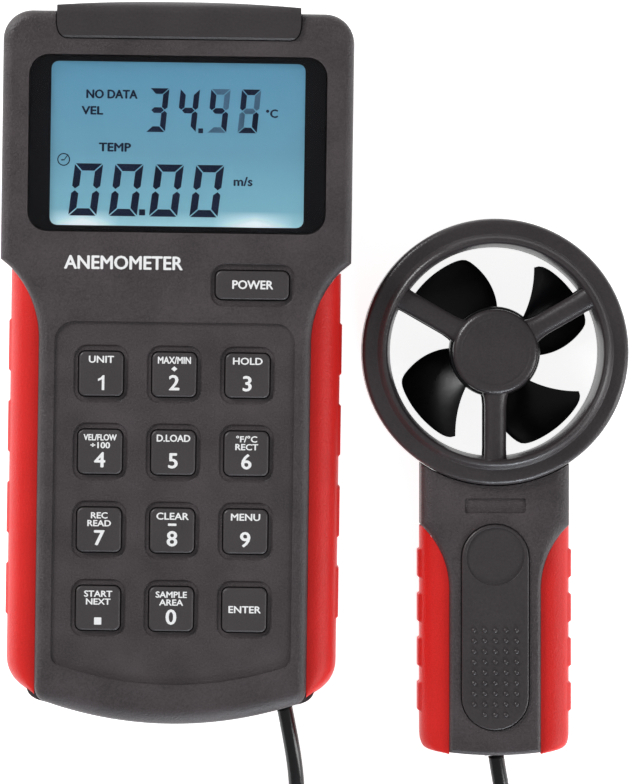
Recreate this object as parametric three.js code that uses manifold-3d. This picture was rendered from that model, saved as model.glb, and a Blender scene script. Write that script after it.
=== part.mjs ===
// Vane anemometer: a handheld display unit and a vane sensor on a handle, joined by one round cable.
// Both lie on their backs. Millimetres, +Z up out of the display face, +Y towards the display's top end.
// The display unit is drawn about its own centre line; the sensor is drawn about the vane's axis.
import * as THREE from "three";
import { mergeVertices } from "three/addons/utils/BufferGeometryUtils.js";
import Module from "manifold-3d";

const wasm = await Module();
wasm.setup();

// ---------------------------------------------------------------- driving dimensions
const GAP = 0.3; // clearance between pieces that touch
const WALL = 2; // moulded wall
const CUT = 2; // how far a cutting shape reaches past the surface it opens

// Display unit: case
const METER_THICK = 36;
const SEAM_Z = 17;
const FACE_WALL = 3;
const EDGE = 1.8; // rounded edge round the face and the back
const HEAD_HALF = 43.65;
const HEAD_TOP = 87.3;
const HEAD_CORNER_R = 7.3;
const HEAD_FOOT_Y = 25.4; // the head's straight side ends here
const WAIST = { x: 59.35, y: 5.5, r: 25.5, end: 135.4 }; // hollow under each side of the head
const PLATEAU_HALF = 33.85; // raised middle of the lower case, between the grips
const CORE_HALF = 36; // lower case under the grips
const CORE_Z = [5, 31];
const BOTTOM_Y = -90;
const BOTTOM_R = 96;
const BOTTOM_CORNER = { x: 30.4, rise: 4.4 };

// Display unit: red grips
const GRIP_HALF = 41.7;
const GRIP_DIP = 0.45; // how far the gaps between the finger bumps lie back
const GRIP_Z = [3, 33];
const GRIP_FOOT_Y = -83;
const BUMP = { first: 4, pitch: 20.3, count: 4, length: 13.2, ramp: 1.6 };

// Display unit: screen
const SCREEN_Y = 54.4;
const WINDOW = { w: 74.2, h: 44.1, r: 5, floor: 33.3 };
const LIT = { w: 63.2, h: 40.8, r: 1.8 };
const LEDGE = { w: 66, h: 41.6, z: 31 };
const LCD_SIZE = [65.2, 41];

// Display unit: keys
const KEY_PITCH_X = 18.2;
const KEY_ROWS = [-2.9, -22.3, -41.7, -61.2];
const KEY_NAMES = [["1", "2", "3"], ["4", "5", "6"], ["7", "8", "9"], ["point", "0", "enter"]];
const KEY = { w: 11, h: 11, r: 1.5 };
const KEY_DISH = { w: 14, h: 14.7 };
const POWER = { x: 19.1, y: 19.6, w: 18.25, h: 7.1, r: 1.6 };
const POWER_DISH = { w: 21.2, h: 11 };
const PAD = { half: 29.9, top: 10.15, topR: 5, foot: -75, footR: 2.5, arcR: 88, depth: 0.5 };
const DISH_DEPTH = 1.3;
const KEY_TOP = METER_THICK + 0.1;
const KEY_FLANGE = { grow: 0.7, z: [31.7, 32.7] };

// Display unit: inside
const BOARD_Z = 24;
const BOARD_THICK = 1.6;
const DOME_TOP = 30.6;
const SCREWS = [[-37.1, 77], [37.1, 77], [-29.5, -64], [29.5, -64]];

// Display unit: port cover at the top end, hinged on a pin across the back
const PORT = { half: 30.35, foot: 80.6, top: 89.9, arcR: 384, lip: 36.7, recess: 35, r: 3.5 };
const PORT_HINGE = { y: 88.6, z: 8.8, r: 1, pin: 0.6, half: 26 };

// Display unit: battery and its door
const BATTERY = { w: 26.5, l: 48.5, h: 17.5, y: -57.75, z: 3 };
const DOOR = { half: 18, top: -28.3, z: [0.4, 2.4], tongue: 1.5, tongueZ: 1.5 };

// Cable
const CABLE_R = 2;
const METER_EXIT = { x: 28.4, y: -85.8, z: 11, turn: 12 };
const COIL = { x: 57, y: -142.5, inner: 15.9, outer: 28.1, z: [0.9, 12.6] };
const TIE = { w: 6, thick: 0.6 };

// Sensor: place relative to the display unit, and vane head
const SENSOR = { x: 80.2, y: 3.87, turn: 0.8 };
const RING = { r: 33.4, ridge: 32, lip: 29.5, crest: 27.9, mouth: 27.2, bore: 26.4, depth: 28 };
const RING_SEAM = 14;
const SPOKE = { angles: [30, 150, 270], w: 5.4, front: [22.3, 26.6], rear: [1.4, 5.7] };
const HUB = { r: 10.7, front: [21.6, 27.4], rear: [0.6, 8.3] };
const ROTOR = { tip: 24.8, drum: 11.4, z: [9.2, 20.6], blades: 4, first: 39.5, thick: 0.9 };
const BEARING = { r: 3, bore: 1.3, length: 2.5 };
const SHAFT_R = 1;

// Sensor: handle
const HANDLE_THICK = 24;
const HANDLE_SEAM = 12;
const HANDLE_HALF = 18.6;
const HANDLE_PLATEAU = 11.45;
const HANDLE_CORE = 15.2;
const HANDLE_CORE_Z = [3.5, 20.5];
const HANDLE_WAIST = { x: 33.45, y: -59.7, r: 22 };
const HANDLE_FOOT = -101.3;
const HANDLE_FOOT_R = 90;
const HANDLE_EDGE = 1.2;
const SENSOR_GRIP = { half: 19.4, dip: 0.6, z: [1.6, 22.4], foot: -99.8, inner: 11.75 };
const SENSOR_BUMP = { first: -53.2, pitch: 11.2, count: 4, length: 7.6, ramp: 1.3 };
const LABEL = { w: 15.3, h: 3.75, y: -38.6, depth: 0.5 };
const THUMB = { half: 8.4, top: -43.3, foot: -94.9, z: [23.6, 24.8], discY: -51.3, discR: 7.3 };
const NECK = { half: 9, foot: -42, z: [4.6, 13.7] };
const SENSOR_EXIT = { x: 0.5, y: -101.1, z: 12.15, turn: 9.5 };
const GROMMET = { r: 3, length: 9, proud: 0.5 };
const HANDLE_SCREWS = [-49.5, -84];

// ---------------------------------------------------------------- materials
const paint = (color, roughness, metalness = 0) =>
  new THREE.MeshStandardMaterial({ color, roughness, metalness });
const charcoal = paint(0x403a3c, 0.55);
const charcoalSmooth = paint(0x3b3638, 0.35);
const redRubber = paint(0xd42a2a, 0.45);
const keyPlastic = paint(0x35302f, 0.4);
const blackPlastic = paint(0x121314, 0.35);
const maskBlack = paint(0x1a1c22, 0.3);
const clearWindow = new THREE.MeshStandardMaterial({
  color: 0xdfe8ee, roughness: 0.05, transparent: true, opacity: 0.35,
});
const lcdBlue = paint(0x5a9bb9, 0.3);
const lightGuide = paint(0xd8eef5, 0.4);
const boardGreen = paint(0x1f5a35, 0.5);
const silicone = paint(0x8d9296, 0.7);
const steel = paint(0xb8babd, 0.3, 1);
const chipBlack = paint(0x17181a, 0.5);
const batteryWrap = paint(0x6a6f78, 0.35, 0.3);
const wireRed = paint(0xb3201f, 0.4);
const wireBlack = paint(0x101010, 0.4);
const cableBlack = paint(0x0c0c0d, 0.3);
const strapBlack = paint(0x1b1b1c, 0.9);

// ---------------------------------------------------------------- making solids
const radians = THREE.MathUtils.degToRad;

// A closed three.js geometry as a solid that can be joined and cut.
function solid(geometry) {
  const bare = geometry.clone();
  bare.deleteAttribute("normal");
  bare.deleteAttribute("uv");
  const merged = mergeVertices(bare, 1e-4);
  const corner = merged.index.array;
  const faces = [];
  for (let i = 0; i < corner.length; i += 3) {
    const [a, b, c] = [corner[i], corner[i + 1], corner[i + 2]];
    if (a !== b && b !== c && c !== a) faces.push(a, b, c);
  }
  const mesh = new wasm.Mesh({
    numProp: 3,
    vertProperties: new Float32Array(merged.attributes.position.array),
    triVerts: new Uint32Array(faces),
  });
  return new wasm.Manifold(mesh);
}

const join = (first, ...rest) => rest.reduce((whole, piece) => whole.add(piece), first);
const cut = (first, ...rest) => rest.reduce((whole, piece) => whole.subtract(piece), first);

// A shape's corners, without repeats and without points that lie on a straight edge.
function corners(shape, divisions) {
  const points = shape.getPoints(divisions);
  const apart = points.filter((p, i) => p.distanceTo(points.at(i - 1)) > 1e-3);
  return apart.filter((p, i) => {
    const before = p.clone().sub(apart.at(i - 1));
    const after = apart[(i + 1) % apart.length].clone().sub(p);
    return Math.abs(before.cross(after)) > 1e-5;
  });
}

const extruded = (shape, divisions, options) =>
  new THREE.ExtrudeGeometry(new THREE.Shape(corners(shape, divisions)), options);

function prism(shape, low, high, divisions = 6) {
  const geometry = extruded(shape, divisions, { depth: high - low, bevelEnabled: false });
  return solid(geometry.translate(0, 0, low));
}

// A prism whose top and bottom edges are rounded by `edge`.
function softPrism(shape, low, high, edge, divisions = 6, bevelSegments = 2) {
  const geometry = extruded(shape, divisions, {
    depth: high - low - 2 * edge, bevelEnabled: true, bevelSize: edge, bevelThickness: edge,
    bevelOffset: -edge, bevelSegments,
  });
  return solid(geometry.translate(0, 0, low + edge));
}

// A prism along X or Y of a section drawn as (across, up).
function prismAlongY(section, low, high) {
  const geometry = extruded(section, 6, { depth: high - low, bevelEnabled: false });
  return solid(geometry.rotateX(Math.PI / 2).translate(0, high, 0));
}

function prismAlongX(section, low, high) {
  const geometry = extruded(section, 6, { depth: high - low, bevelEnabled: false });
  return solid(geometry.rotateX(Math.PI / 2).rotateZ(Math.PI / 2).translate(low, 0, 0));
}

function box(x, y, z) {
  const geometry = new THREE.BoxGeometry(x[1] - x[0], y[1] - y[0], z[1] - z[0]);
  return solid(geometry.translate((x[0] + x[1]) / 2, (y[0] + y[1]) / 2, (z[0] + z[1]) / 2));
}

function rod(x, y, low, high, r, segments = 12) {
  const geometry = new THREE.CylinderGeometry(r, r, high - low, segments);
  return solid(geometry.rotateX(Math.PI / 2).translate(x, y, (low + high) / 2));
}

// A turned piece about the Z axis; the profile is a list of [radius, z] going up its outside.
function turned(profile, segments = 48) {
  const points = profile.map(([r, z]) => new THREE.Vector2(r, z));
  const geometry = new THREE.LatheGeometry(points, segments);
  return solid(geometry.rotateX(Math.PI / 2));
}

function tube(curve, steps, r, sides) {
  const circle = new THREE.Shape().absarc(0, 0, r, 0, 2 * Math.PI, false);
  const geometry = new THREE.ExtrudeGeometry(circle, {
    steps, extrudePath: curve, bevelEnabled: false, curveSegments: sides / 2,
  });
  return solid(geometry);
}

function roundedRect(w, h, r, x = 0, y = 0) {
  const shape = new THREE.Shape();
  shape.absarc(x + w / 2 - r, y - h / 2 + r, r, -Math.PI / 2, 0, false);
  shape.absarc(x + w / 2 - r, y + h / 2 - r, r, 0, Math.PI / 2, false);
  shape.absarc(x - w / 2 + r, y + h / 2 - r, r, Math.PI / 2, Math.PI, false);
  shape.absarc(x - w / 2 + r, y - h / 2 + r, r, Math.PI, 1.5 * Math.PI, false);
  return shape;
}

// Closes a right-hand outline, drawn from the bottom centre to the top centre, with its mirror image.
function symmetricShape(path, divisions = 6) {
  const right = path.getPoints(divisions);
  const left = right.filter((p) => p.x > 1e-6).map((p) => new THREE.Vector2(-p.x, p.y)).reverse();
  return new THREE.Shape([...right, ...left]);
}

const mirrorShape = (shape, side, divisions = 6) =>
  new THREE.Shape(shape.getPoints(divisions).map((p) => new THREE.Vector2(side * p.x, p.y)));

// ---------------------------------------------------------------- the object's groups
const object = new THREE.Group();
const sensor = new THREE.Group();
sensor.position.set(SENSOR.x, SENSOR.y, 0);
sensor.rotation.z = radians(SENSOR.turn);
const cord = new THREE.Group();
object.add(sensor, cord);

function addMesh(parent, name, material, body) {
  const { vertProperties, triVerts } = body.getMesh();
  const geometry = new THREE.BufferGeometry();
  geometry.setAttribute("position", new THREE.BufferAttribute(vertProperties, 3));
  geometry.setIndex(new THREE.BufferAttribute(triVerts, 1));
  const mesh = new THREE.Mesh(geometry, material);
  mesh.name = name;
  parent.add(mesh);
}

// ---------------------------------------------------------------- display unit: case outline
// The outline of the case, drawn in by `inset`; `half` is the lower case's half width.
function caseOutline(half, inset) {
  const body = half - inset;
  const waistR = WAIST.r + inset;
  const waistStart = Math.acos(Math.max(-1, -(WAIST.x - body) / waistR));
  const side = HEAD_HALF - inset;
  const top = HEAD_TOP - inset;
  const corner = HEAD_CORNER_R - inset;
  const foot = BOTTOM_Y + BOTTOM_R;
  const footR = BOTTOM_R - inset;
  const swing = Math.asin((BOTTOM_CORNER.x - inset) / footR);
  const path = new THREE.Path();
  path.absarc(0, foot, footR, -Math.PI / 2, -Math.PI / 2 + swing, false);
  const cornerY = foot - footR * Math.cos(swing);
  path.quadraticCurveTo(body, cornerY + 0.6, body, cornerY + BOTTOM_CORNER.rise);
  path.absarc(WAIST.x, WAIST.y, waistR, waistStart, radians(WAIST.end), true);
  path.lineTo(side, HEAD_FOOT_Y);
  path.absarc(side - corner, top - corner, corner, 0, Math.PI / 2, false);
  path.lineTo(0, top);
  return symmetricShape(path, 3);
}

// Both halves of the case together, before they are hollowed and parted.
const caseBlock = join(
  softPrism(caseOutline(PLATEAU_HALF, 0), 0, METER_THICK, EDGE, 6, 1),
  prism(caseOutline(CORE_HALF, 0), CORE_Z[0], CORE_Z[1]),
);
const caseHollow = join(
  prism(caseOutline(PLATEAU_HALF, WALL), WALL, METER_THICK - FACE_WALL),
  prism(caseOutline(CORE_HALF, WALL), CORE_Z[0] + WALL, CORE_Z[1] - WALL),
);
const EVERYWHERE = [-120, 120];
const above = (z) => box(EVERYWHERE, EVERYWHERE, [z, METER_THICK + 10]);
const below = (z) => box(EVERYWHERE, EVERYWHERE, [-10, z]);

// A hole or rod that leaves an end wall downwards, turned towards +X by exit.turn degrees.
function exitRod(exit, r, inward, outward) {
  const geometry = new THREE.CylinderGeometry(r, r, inward + outward, 16);
  geometry.translate(0, (inward - outward) / 2, 0).rotateZ(radians(exit.turn));
  return solid(geometry.translate(exit.x, exit.y, exit.z));
}

// ---------------------------------------------------------------- display unit: front cover
// The shallow panel that the number keys stand in: round upper corners and a curved lower edge.
function padOutline() {
  const path = new THREE.Path();
  const centre = PAD.foot - 5.1 + PAD.arcR;
  const swing = Math.asin((PAD.half - PAD.footR) / PAD.arcR);
  path.absarc(0, centre, PAD.arcR, -Math.PI / 2, -Math.PI / 2 + swing, false);
  path.quadraticCurveTo(PAD.half, PAD.foot - 0.3, PAD.half, PAD.foot + PAD.footR);
  path.absarc(PAD.half - PAD.topR, PAD.top - PAD.topR, PAD.topR, 0, Math.PI / 2, false);
  path.lineTo(0, PAD.top);
  return symmetricShape(path);
}

const keyCentres = KEY_ROWS.flatMap((y, row) =>
  KEY_NAMES[row].map((name, column) => ({ name, x: (column - 1) * KEY_PITCH_X, y })));

function keyOpenings() {
  const top = METER_THICK + CUT;
  const dishFloor = METER_THICK - DISH_DEPTH;
  const bottom = METER_THICK - FACE_WALL - CUT;
  const opening = ({ w, h }, x, y, grow, floor) => box(
    [x - w / 2 - grow, x + w / 2 + grow], [y - h / 2 - grow, y + h / 2 + grow], [floor, top]);
  const slot = (key, x, y) => opening(key, x, y, GAP, bottom);
  const dish = (key, x, y) => opening(key, x, y, 0, dishFloor);
  return [
    slot(POWER, POWER.x, POWER.y), dish(POWER_DISH, POWER.x, POWER.y),
    ...keyCentres.flatMap(({ x, y }) => [slot(KEY, x, y), dish(KEY_DISH, x, y)]),
  ];
}

function frontCover() {
  const faceTop = METER_THICK + CUT;
  const screwPost = ([x, y]) => rod(x, y, SEAM_Z + GAP, METER_THICK - FACE_WALL + 0.2, 3.2);
  const screwHole = ([x, y]) => rod(x, y, SEAM_Z - CUT, 28, 1.6, 12);
  const ledge = cut(
    prism(roundedRect(LEDGE.w + 6, LEDGE.h + 6, 3, 0, SCREEN_Y), LEDGE.z, METER_THICK - 2),
    prism(roundedRect(LEDGE.w, LEDGE.h, 1, 0, SCREEN_Y), LEDGE.z - CUT, METER_THICK),
  );
  const shell = join(
    cut(caseBlock, caseHollow, below(SEAM_Z + GAP)),
    ledge, ...SCREWS.map(screwPost),
  );
  return cut(
    shell,
    ...SCREWS.map(screwHole),
    prism(roundedRect(WINDOW.w, WINDOW.h, WINDOW.r, 0, SCREEN_Y), WINDOW.floor, faceTop),
    prism(roundedRect(LEDGE.w, LEDGE.h, 1, 0, SCREEN_Y), LEDGE.z - CUT, faceTop),
    prism(padOutline(), METER_THICK - PAD.depth, faceTop),
    ...keyOpenings(),
    box([-PORT.half - GAP, PORT.half + GAP], [PORT.foot - GAP, HEAD_TOP + CUT], [PORT.recess, faceTop]),
    box([-5, 5], [HEAD_TOP - 4, HEAD_TOP + CUT], [25.3, 30.3]),
  );
}
addMesh(object, "front_cover", charcoal, frontCover());

// ---------------------------------------------------------------- display unit: rear cover
const bayHalf = BATTERY.w / 2 + 0.5;
const bayTop = BATTERY.z + BATTERY.h + 0.6;
const doorFoot = BOTTOM_Y - 5;

function batteryBay() {
  const bayY = [BOTTOM_Y + 6, DOOR.top];
  const bay = cut(
    box([-bayHalf - 1.5, bayHalf + 1.5], bayY, [WALL, bayTop + 1.2]),
    box([-bayHalf, bayHalf], [bayY[0] + 1.5, bayY[1] - 1.5], [0, bayTop]),
  );
  const railX = [bayHalf + 1, DOOR.half + DOOR.tongue + 1.8];
  const rail = (side) => box(
    side > 0 ? railX : [-railX[1], -railX[0]], [BOTTOM_Y + 6, DOOR.top + 1.5], [WALL - 0.5, 4.4],
  );
  return join(bay, rail(1), rail(-1));
}

function doorOpening() {
  const plate = DOOR.half + GAP;
  const tongue = DOOR.half + DOOR.tongue + GAP;
  return join(
    box([-plate, plate], [doorFoot, DOOR.top + GAP], [-CUT, DOOR.z[1] + GAP]),
    box([-tongue, tongue], [doorFoot, DOOR.top - 1.2 + GAP], [DOOR.tongueZ - GAP, DOOR.z[1] + GAP]),
  );
}

function portLugs() {
  const { y, z, half, pin } = PORT_HINGE;
  const lugX = [half + GAP, half + 3.3];
  const lug = (side) => cut(
    box(side > 0 ? lugX : [-lugX[1], -lugX[0]], [HEAD_TOP - 1, y + 1.2], [z - 1.3, z + 1.3]),
    pinRod(side > 0 ? lugX[0] - 1 : -lugX[1] - 1, side > 0 ? lugX[1] + 1 : 1 - lugX[0], pin + GAP),
  );
  return join(lug(1), lug(-1));
}

// A rod along X on the port cover's hinge line.
function pinRod(low, high, r) {
  const geometry = new THREE.CylinderGeometry(r, r, high - low, 12);
  return solid(geometry.rotateZ(Math.PI / 2)
    .translate((low + high) / 2, PORT_HINGE.y, PORT_HINGE.z));
}

function rearCover() {
  const screwPost = ([x, y]) => rod(x, y, WALL - 0.2, SEAM_Z, 4);
  const shell = join(
    cut(caseBlock, caseHollow, above(SEAM_Z)),
    ...SCREWS.map(screwPost), batteryBay(), portLugs(),
  );
  return cut(
    shell,
    ...SCREWS.map(([x, y]) => rod(x, y, -CUT, 3, 3.1)),
    ...SCREWS.map(([x, y]) => rod(x, y, -CUT, SEAM_Z + CUT, 1.6, 12)),
    doorOpening(),
    exitRod(METER_EXIT, GROMMET.r + GAP, 8, 4),
  );
}
addMesh(object, "rear_cover", charcoal, rearCover());

SCREWS.forEach(([x, y], i) => {
  const screw = join(rod(x, y, 0.6, 2.7, 2.7), rod(x, y, 2.5, 26, 1.25, 12));
  addMesh(object, `case_screw_${i + 1}`, steel, screw);
});

// ---------------------------------------------------------------- display unit: battery and door
function batteryDoor() {
  const plate = box([-DOOR.half, DOOR.half], [doorFoot, DOOR.top], DOOR.z);
  const tongue = DOOR.half + DOOR.tongue;
  const rails = box([-tongue, tongue], [doorFoot, DOOR.top - 1.2], [DOOR.tongueZ, DOOR.z[1]]);
  return join(plate, rails).intersect(softPrism(caseOutline(PLATEAU_HALF, 0), 0, METER_THICK, EDGE));
}
addMesh(object, "battery_door", charcoal, batteryDoor());

const batteryY = [BATTERY.y - BATTERY.l / 2, BATTERY.y + BATTERY.l / 2];
const batteryZ = [BATTERY.z, BATTERY.z + BATTERY.h];
addMesh(object, "battery", batteryWrap,
  prismAlongY(roundedRect(BATTERY.w, BATTERY.h, 1.5, 0, BATTERY.z + BATTERY.h / 2), ...batteryY));
addMesh(object, "battery_snap", wireBlack,
  box([-12, 12], [batteryY[1] + GAP, batteryY[1] + 2.7], [batteryZ[0] + 2, batteryZ[1] - 2]));

// The leads climb from the snap, over the battery bay's end wall, to the board.
function batteryLead(x) {
  const path = new THREE.CatmullRomCurve3([
    new THREE.Vector3(x, DOOR.top + 1, 21.6),
    new THREE.Vector3(x, DOOR.top + 3.5, 21.4),
    new THREE.Vector3(x, DOOR.top + 6.5, 22.2),
    new THREE.Vector3(x, DOOR.top + 8, BOARD_Z - GAP),
  ]);
  return tube(path, 8, 0.6, 4);
}
addMesh(object, "battery_lead_red", wireRed, batteryLead(4));
addMesh(object, "battery_lead_black", wireBlack, batteryLead(-4));

// ---------------------------------------------------------------- display unit: grips
// One side's grip in plan, between the waist above and its curved foot.
function gripPlan() {
  const inner = PLATEAU_HALF + GAP;
  const dip = GRIP_HALF - GRIP_DIP;
  const waistR = WAIST.r - GAP;
  const meet = Math.PI - Math.acos((WAIST.x - dip) / waistR);
  const shape = new THREE.Shape();
  shape.moveTo(inner, GRIP_FOOT_Y);
  shape.absarc(WAIST.x, WAIST.y, waistR, Math.PI, meet, true);
  for (let i = 0; i < BUMP.count; i += 1) {
    const middle = BUMP.first - i * BUMP.pitch;
    const reach = BUMP.length / 2;
    shape.lineTo(dip, middle + reach);
    shape.lineTo(GRIP_HALF, middle + reach - BUMP.ramp);
    shape.lineTo(GRIP_HALF, middle - reach + BUMP.ramp);
    shape.lineTo(dip, middle - reach);
  }
  shape.lineTo(dip, -73.8);
  shape.bezierCurveTo(dip, -79, 37.5, -81.6, inner, GRIP_FOOT_Y);
  return shape;
}

// The same grip across the case: it wraps the side and ends in a lip over the case's shoulder.
function gripSection() {
  const inner = PLATEAU_HALF + GAP;
  const core = CORE_HALF + GAP;
  const shape = new THREE.Shape();
  shape.moveTo(core, CORE_Z[0] - GAP);
  shape.lineTo(inner, CORE_Z[0] - GAP);
  shape.lineTo(inner, GRIP_Z[0]);
  shape.bezierCurveTo(39, GRIP_Z[0], GRIP_HALF, 7, GRIP_HALF, 12);
  shape.lineTo(GRIP_HALF, 24);
  shape.bezierCurveTo(GRIP_HALF, 29, 39, GRIP_Z[1], inner, GRIP_Z[1]);
  shape.lineTo(inner, CORE_Z[1] + GAP);
  shape.lineTo(core, CORE_Z[1] + GAP);
  return shape;
}

for (const [name, side] of [["grip_left", -1], ["grip_right", 1]]) {
  const along = prismAlongY(mirrorShape(gripSection(), side), GRIP_FOOT_Y - CUT, HEAD_FOOT_Y);
  const grip = along.intersect(prism(mirrorShape(gripPlan(), side), 0, METER_THICK));
  addMesh(object, name, redRubber, grip);
}

// ---------------------------------------------------------------- display unit: port cover
function portPlan() {
  const path = new THREE.Path();
  const centre = PORT.top - PORT.arcR;
  const swing = Math.asin(PORT.half / PORT.arcR);
  path.moveTo(0, PORT.foot);
  path.lineTo(PORT.half - 2.8, PORT.foot);
  path.quadraticCurveTo(PORT.half, PORT.foot, PORT.half, PORT.foot + 4.5);
  path.absarc(0, centre, PORT.arcR, Math.PI / 2 - swing, Math.PI / 2, false);
  return symmetricShape(path);
}

// Side view: a lip on the face, a round shoulder, and a skirt down to the hinge barrel.
function portSection() {
  const { y, z, r } = PORT_HINGE;
  const shape = new THREE.Shape();
  shape.moveTo(PORT.foot, PORT.recess + GAP);
  shape.lineTo(HEAD_TOP + GAP, PORT.recess + GAP);
  shape.absarc(y, z, r, Math.PI, 2 * Math.PI, false);
  shape.lineTo(PORT.top, z + 4);
  shape.absarc(PORT.top - PORT.r, PORT.lip - PORT.r, PORT.r, 0, Math.PI / 2, false);
  shape.lineTo(PORT.foot + 0.5, PORT.lip);
  shape.lineTo(PORT.foot, PORT.lip - 0.5);
  return shape;
}

function portCover() {
  const { z, half, pin } = PORT_HINGE;
  const notch = (low, high) => box([low, high], [HEAD_TOP - CUT, PORT.top + CUT], [z - 4, z + 2.2]);
  return cut(
    prismAlongX(portSection(), -PORT.half, PORT.half)
      .intersect(prism(portPlan(), 0, METER_THICK + CUT)),
    pinRod(-PORT.half - 1, PORT.half + 1, pin + GAP),
    notch(half, PORT.half + 1), notch(-PORT.half - 1, -half),
  );
}
addMesh(object, "port_cover", charcoalSmooth, portCover());
addMesh(object, "port_hinge_pin", steel,
  pinRod(-PORT_HINGE.half - 3, PORT_HINGE.half + 3, PORT_HINGE.pin));

// ---------------------------------------------------------------- display unit: screen stack
const flat = (w, h, r, y, low, high) => prism(roundedRect(w, h, r, 0, y), low, high, 2);
const lcdTop = WINDOW.floor;
const lcdBottom = lcdTop - 2.4;
addMesh(object, "display_mask", maskBlack, cut(
  flat(WINDOW.w - 2 * GAP, WINDOW.h - 2 * GAP, WINDOW.r - GAP, SCREEN_Y, 33.6, 34.1),
  flat(LIT.w, LIT.h, LIT.r, SCREEN_Y, 33, 35),
));
addMesh(object, "display_window", clearWindow,
  flat(WINDOW.w - 2 * GAP, WINDOW.h - 2 * GAP, WINDOW.r - GAP, SCREEN_Y, 34.4, 35.5));
addMesh(object, "lcd_panel", lcdBlue,
  flat(LCD_SIZE[0], LCD_SIZE[1], 0.8, SCREEN_Y, lcdBottom, lcdTop));
addMesh(object, "backlight_panel", lightGuide,
  flat(LCD_SIZE[0], LCD_SIZE[1] - 6, 0.8, SCREEN_Y + 3, 27.9, lcdBottom - GAP));
const lcdFoot = SCREEN_Y - LCD_SIZE[1] / 2;
addMesh(object, "zebra_strip", silicone,
  box([-30, 30], [lcdFoot + 1.5, lcdFoot + 4], [BOARD_Z + BOARD_THICK + GAP, lcdBottom - GAP]));

// ---------------------------------------------------------------- display unit: board and key mat
function boardOutline() {
  const path = new THREE.Path();
  path.moveTo(0, -72);
  path.lineTo(25, -72);
  path.lineTo(25, 20);
  path.lineTo(33, 28);
  path.lineTo(33, 82);
  path.lineTo(0, 82);
  return symmetricShape(path);
}
addMesh(object, "main_board", boardGreen,
  prism(boardOutline(), BOARD_Z, BOARD_Z + BOARD_THICK));
const boardTop = BOARD_Z + BOARD_THICK + GAP;
addMesh(object, "microcontroller", chipBlack, box([-7, 7], [46, 60], [boardTop, boardTop + 1.4]));
addMesh(object, "usb_socket", steel, cut(
  box([-4.2, 4.2], [HEAD_TOP - 9, HEAD_TOP - 0.4], [boardTop, boardTop + 4]),
  box([-3.6, 3.6], [HEAD_TOP - 7, HEAD_TOP + 1], [boardTop + 0.6, boardTop + 3.4]),
));

function keypadMat() {
  const sheet = [
    flat(49, 72, 2, -31.5, boardTop, boardTop + 1.2),
    prism(roundedRect(20, 15, 2, POWER.x - 4, 11), boardTop, boardTop + 1.2, 3),
  ];
  const dome = ({ x, y }) => turnedAt(x, y, [[0, boardTop + 1], [4.6, boardTop + 1],
    [3.6, DOME_TOP], [0, DOME_TOP]], 6);
  return join(...sheet, ...keyCentres.map(dome), dome({ x: POWER.x, y: 16 }));
}

function turnedAt(x, y, profile, segments) {
  const points = profile.map(([r, z]) => new THREE.Vector2(r, z));
  const geometry = new THREE.LatheGeometry(points, segments);
  return solid(geometry.rotateX(Math.PI / 2).translate(x, y, 0));
}
addMesh(object, "keypad_mat", silicone, keypadMat());

// ---------------------------------------------------------------- display unit: keys
function keyBody(key, x, y) {
  const { grow, z } = KEY_FLANGE;
  const cap = prism(roundedRect(key.w, key.h, key.r, x, y), z[1] - 0.5, KEY_TOP, 1);
  const reach = [key.w / 2 + grow, key.h / 2 + grow];
  return join(cap, box([x - reach[0], x + reach[0]], [y - reach[1], y + reach[1]], z));
}
addMesh(object, "key_power", keyPlastic, keyBody(POWER, POWER.x, POWER.y));
for (const { name, x, y } of keyCentres) addMesh(object, `key_${name}`, keyPlastic, keyBody(KEY, x, y));

// ---------------------------------------------------------------- cable
addMesh(object, "meter_grommet", blackPlastic,
  exitRod(METER_EXIT, GROMMET.r, GROMMET.length - GROMMET.proud, GROMMET.proud));
addMesh(sensor, "sensor_grommet", blackPlastic,
  exitRod(SENSOR_EXIT, GROMMET.r, GROMMET.length - GROMMET.proud, GROMMET.proud));

// The two stretches that are not coiled, each from its grommet to the coil.
const route = (points) => new THREE.CatmullRomCurve3(points.map((p) => new THREE.Vector3(...p)));
const METER_RUN = route([
  [28.57, -86.59, 11], [29.4, -90.5, 10.95], [30.3, -95, 10.5], [31.1, -99.5, 9.6], [31.7, -104, 8.3],
  [32.05, -108.5, 6.8], [32.15, -113, 5.4], [32.05, -117.5, 4.2], [31.75, -122, 3.4],
  [31.45, -126, 3.05],
]);
const SENSOR_RUN = route([
  [82.22, -98.04, 12.15], [82.9, -102, 12.1], [83.65, -106, 11.75], [84.2, -110, 11.1],
  [84.45, -114, 10.2], [84.4, -118, 9.2], [84.05, -122, 8.3], [83.6, -126, 7.6],
]);
addMesh(cord, "cord_meter_run", cableBlack, tube(METER_RUN, 9, CABLE_R, 10));
addMesh(cord, "cord_sensor_run", cableBlack, tube(SENSOR_RUN, 7, CABLE_R, 10));

function coilRing() {
  const { inner, outer, z } = COIL;
  const profile = [[inner, z[0]], [outer, z[0]], [outer, z[1] - 3.5], [outer - 2, z[1]],
    [inner + 2, z[1]], [inner, z[1] - 3.5], [inner, z[0]]];
  const points = profile.map(([r, up]) => new THREE.Vector2(r, up));
  const geometry = new THREE.LatheGeometry(points, 30);
  return solid(geometry.rotateX(Math.PI / 2).translate(COIL.x, COIL.y, 0));
}
addMesh(cord, "cord_coil", cableBlack, coilRing());

// The strap goes once round the bundle at the side of the coil that is furthest from the object.
function cordTie() {
  const low = [COIL.x - TIE.w / 2, COIL.x + TIE.w / 2];
  const near = COIL.y - COIL.inner + GAP + 0.3;
  const far = COIL.y - COIL.outer - GAP;
  const z = [COIL.z[0] - GAP, COIL.z[1] + GAP];
  return cut(
    box(low, [far - TIE.thick, near + TIE.thick], [z[0] - TIE.thick, z[1] + TIE.thick]),
    box([low[0] - 1, low[1] + 1], [far, near], z),
  );
}
addMesh(cord, "cord_tie", strapBlack, cordTie());

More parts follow.
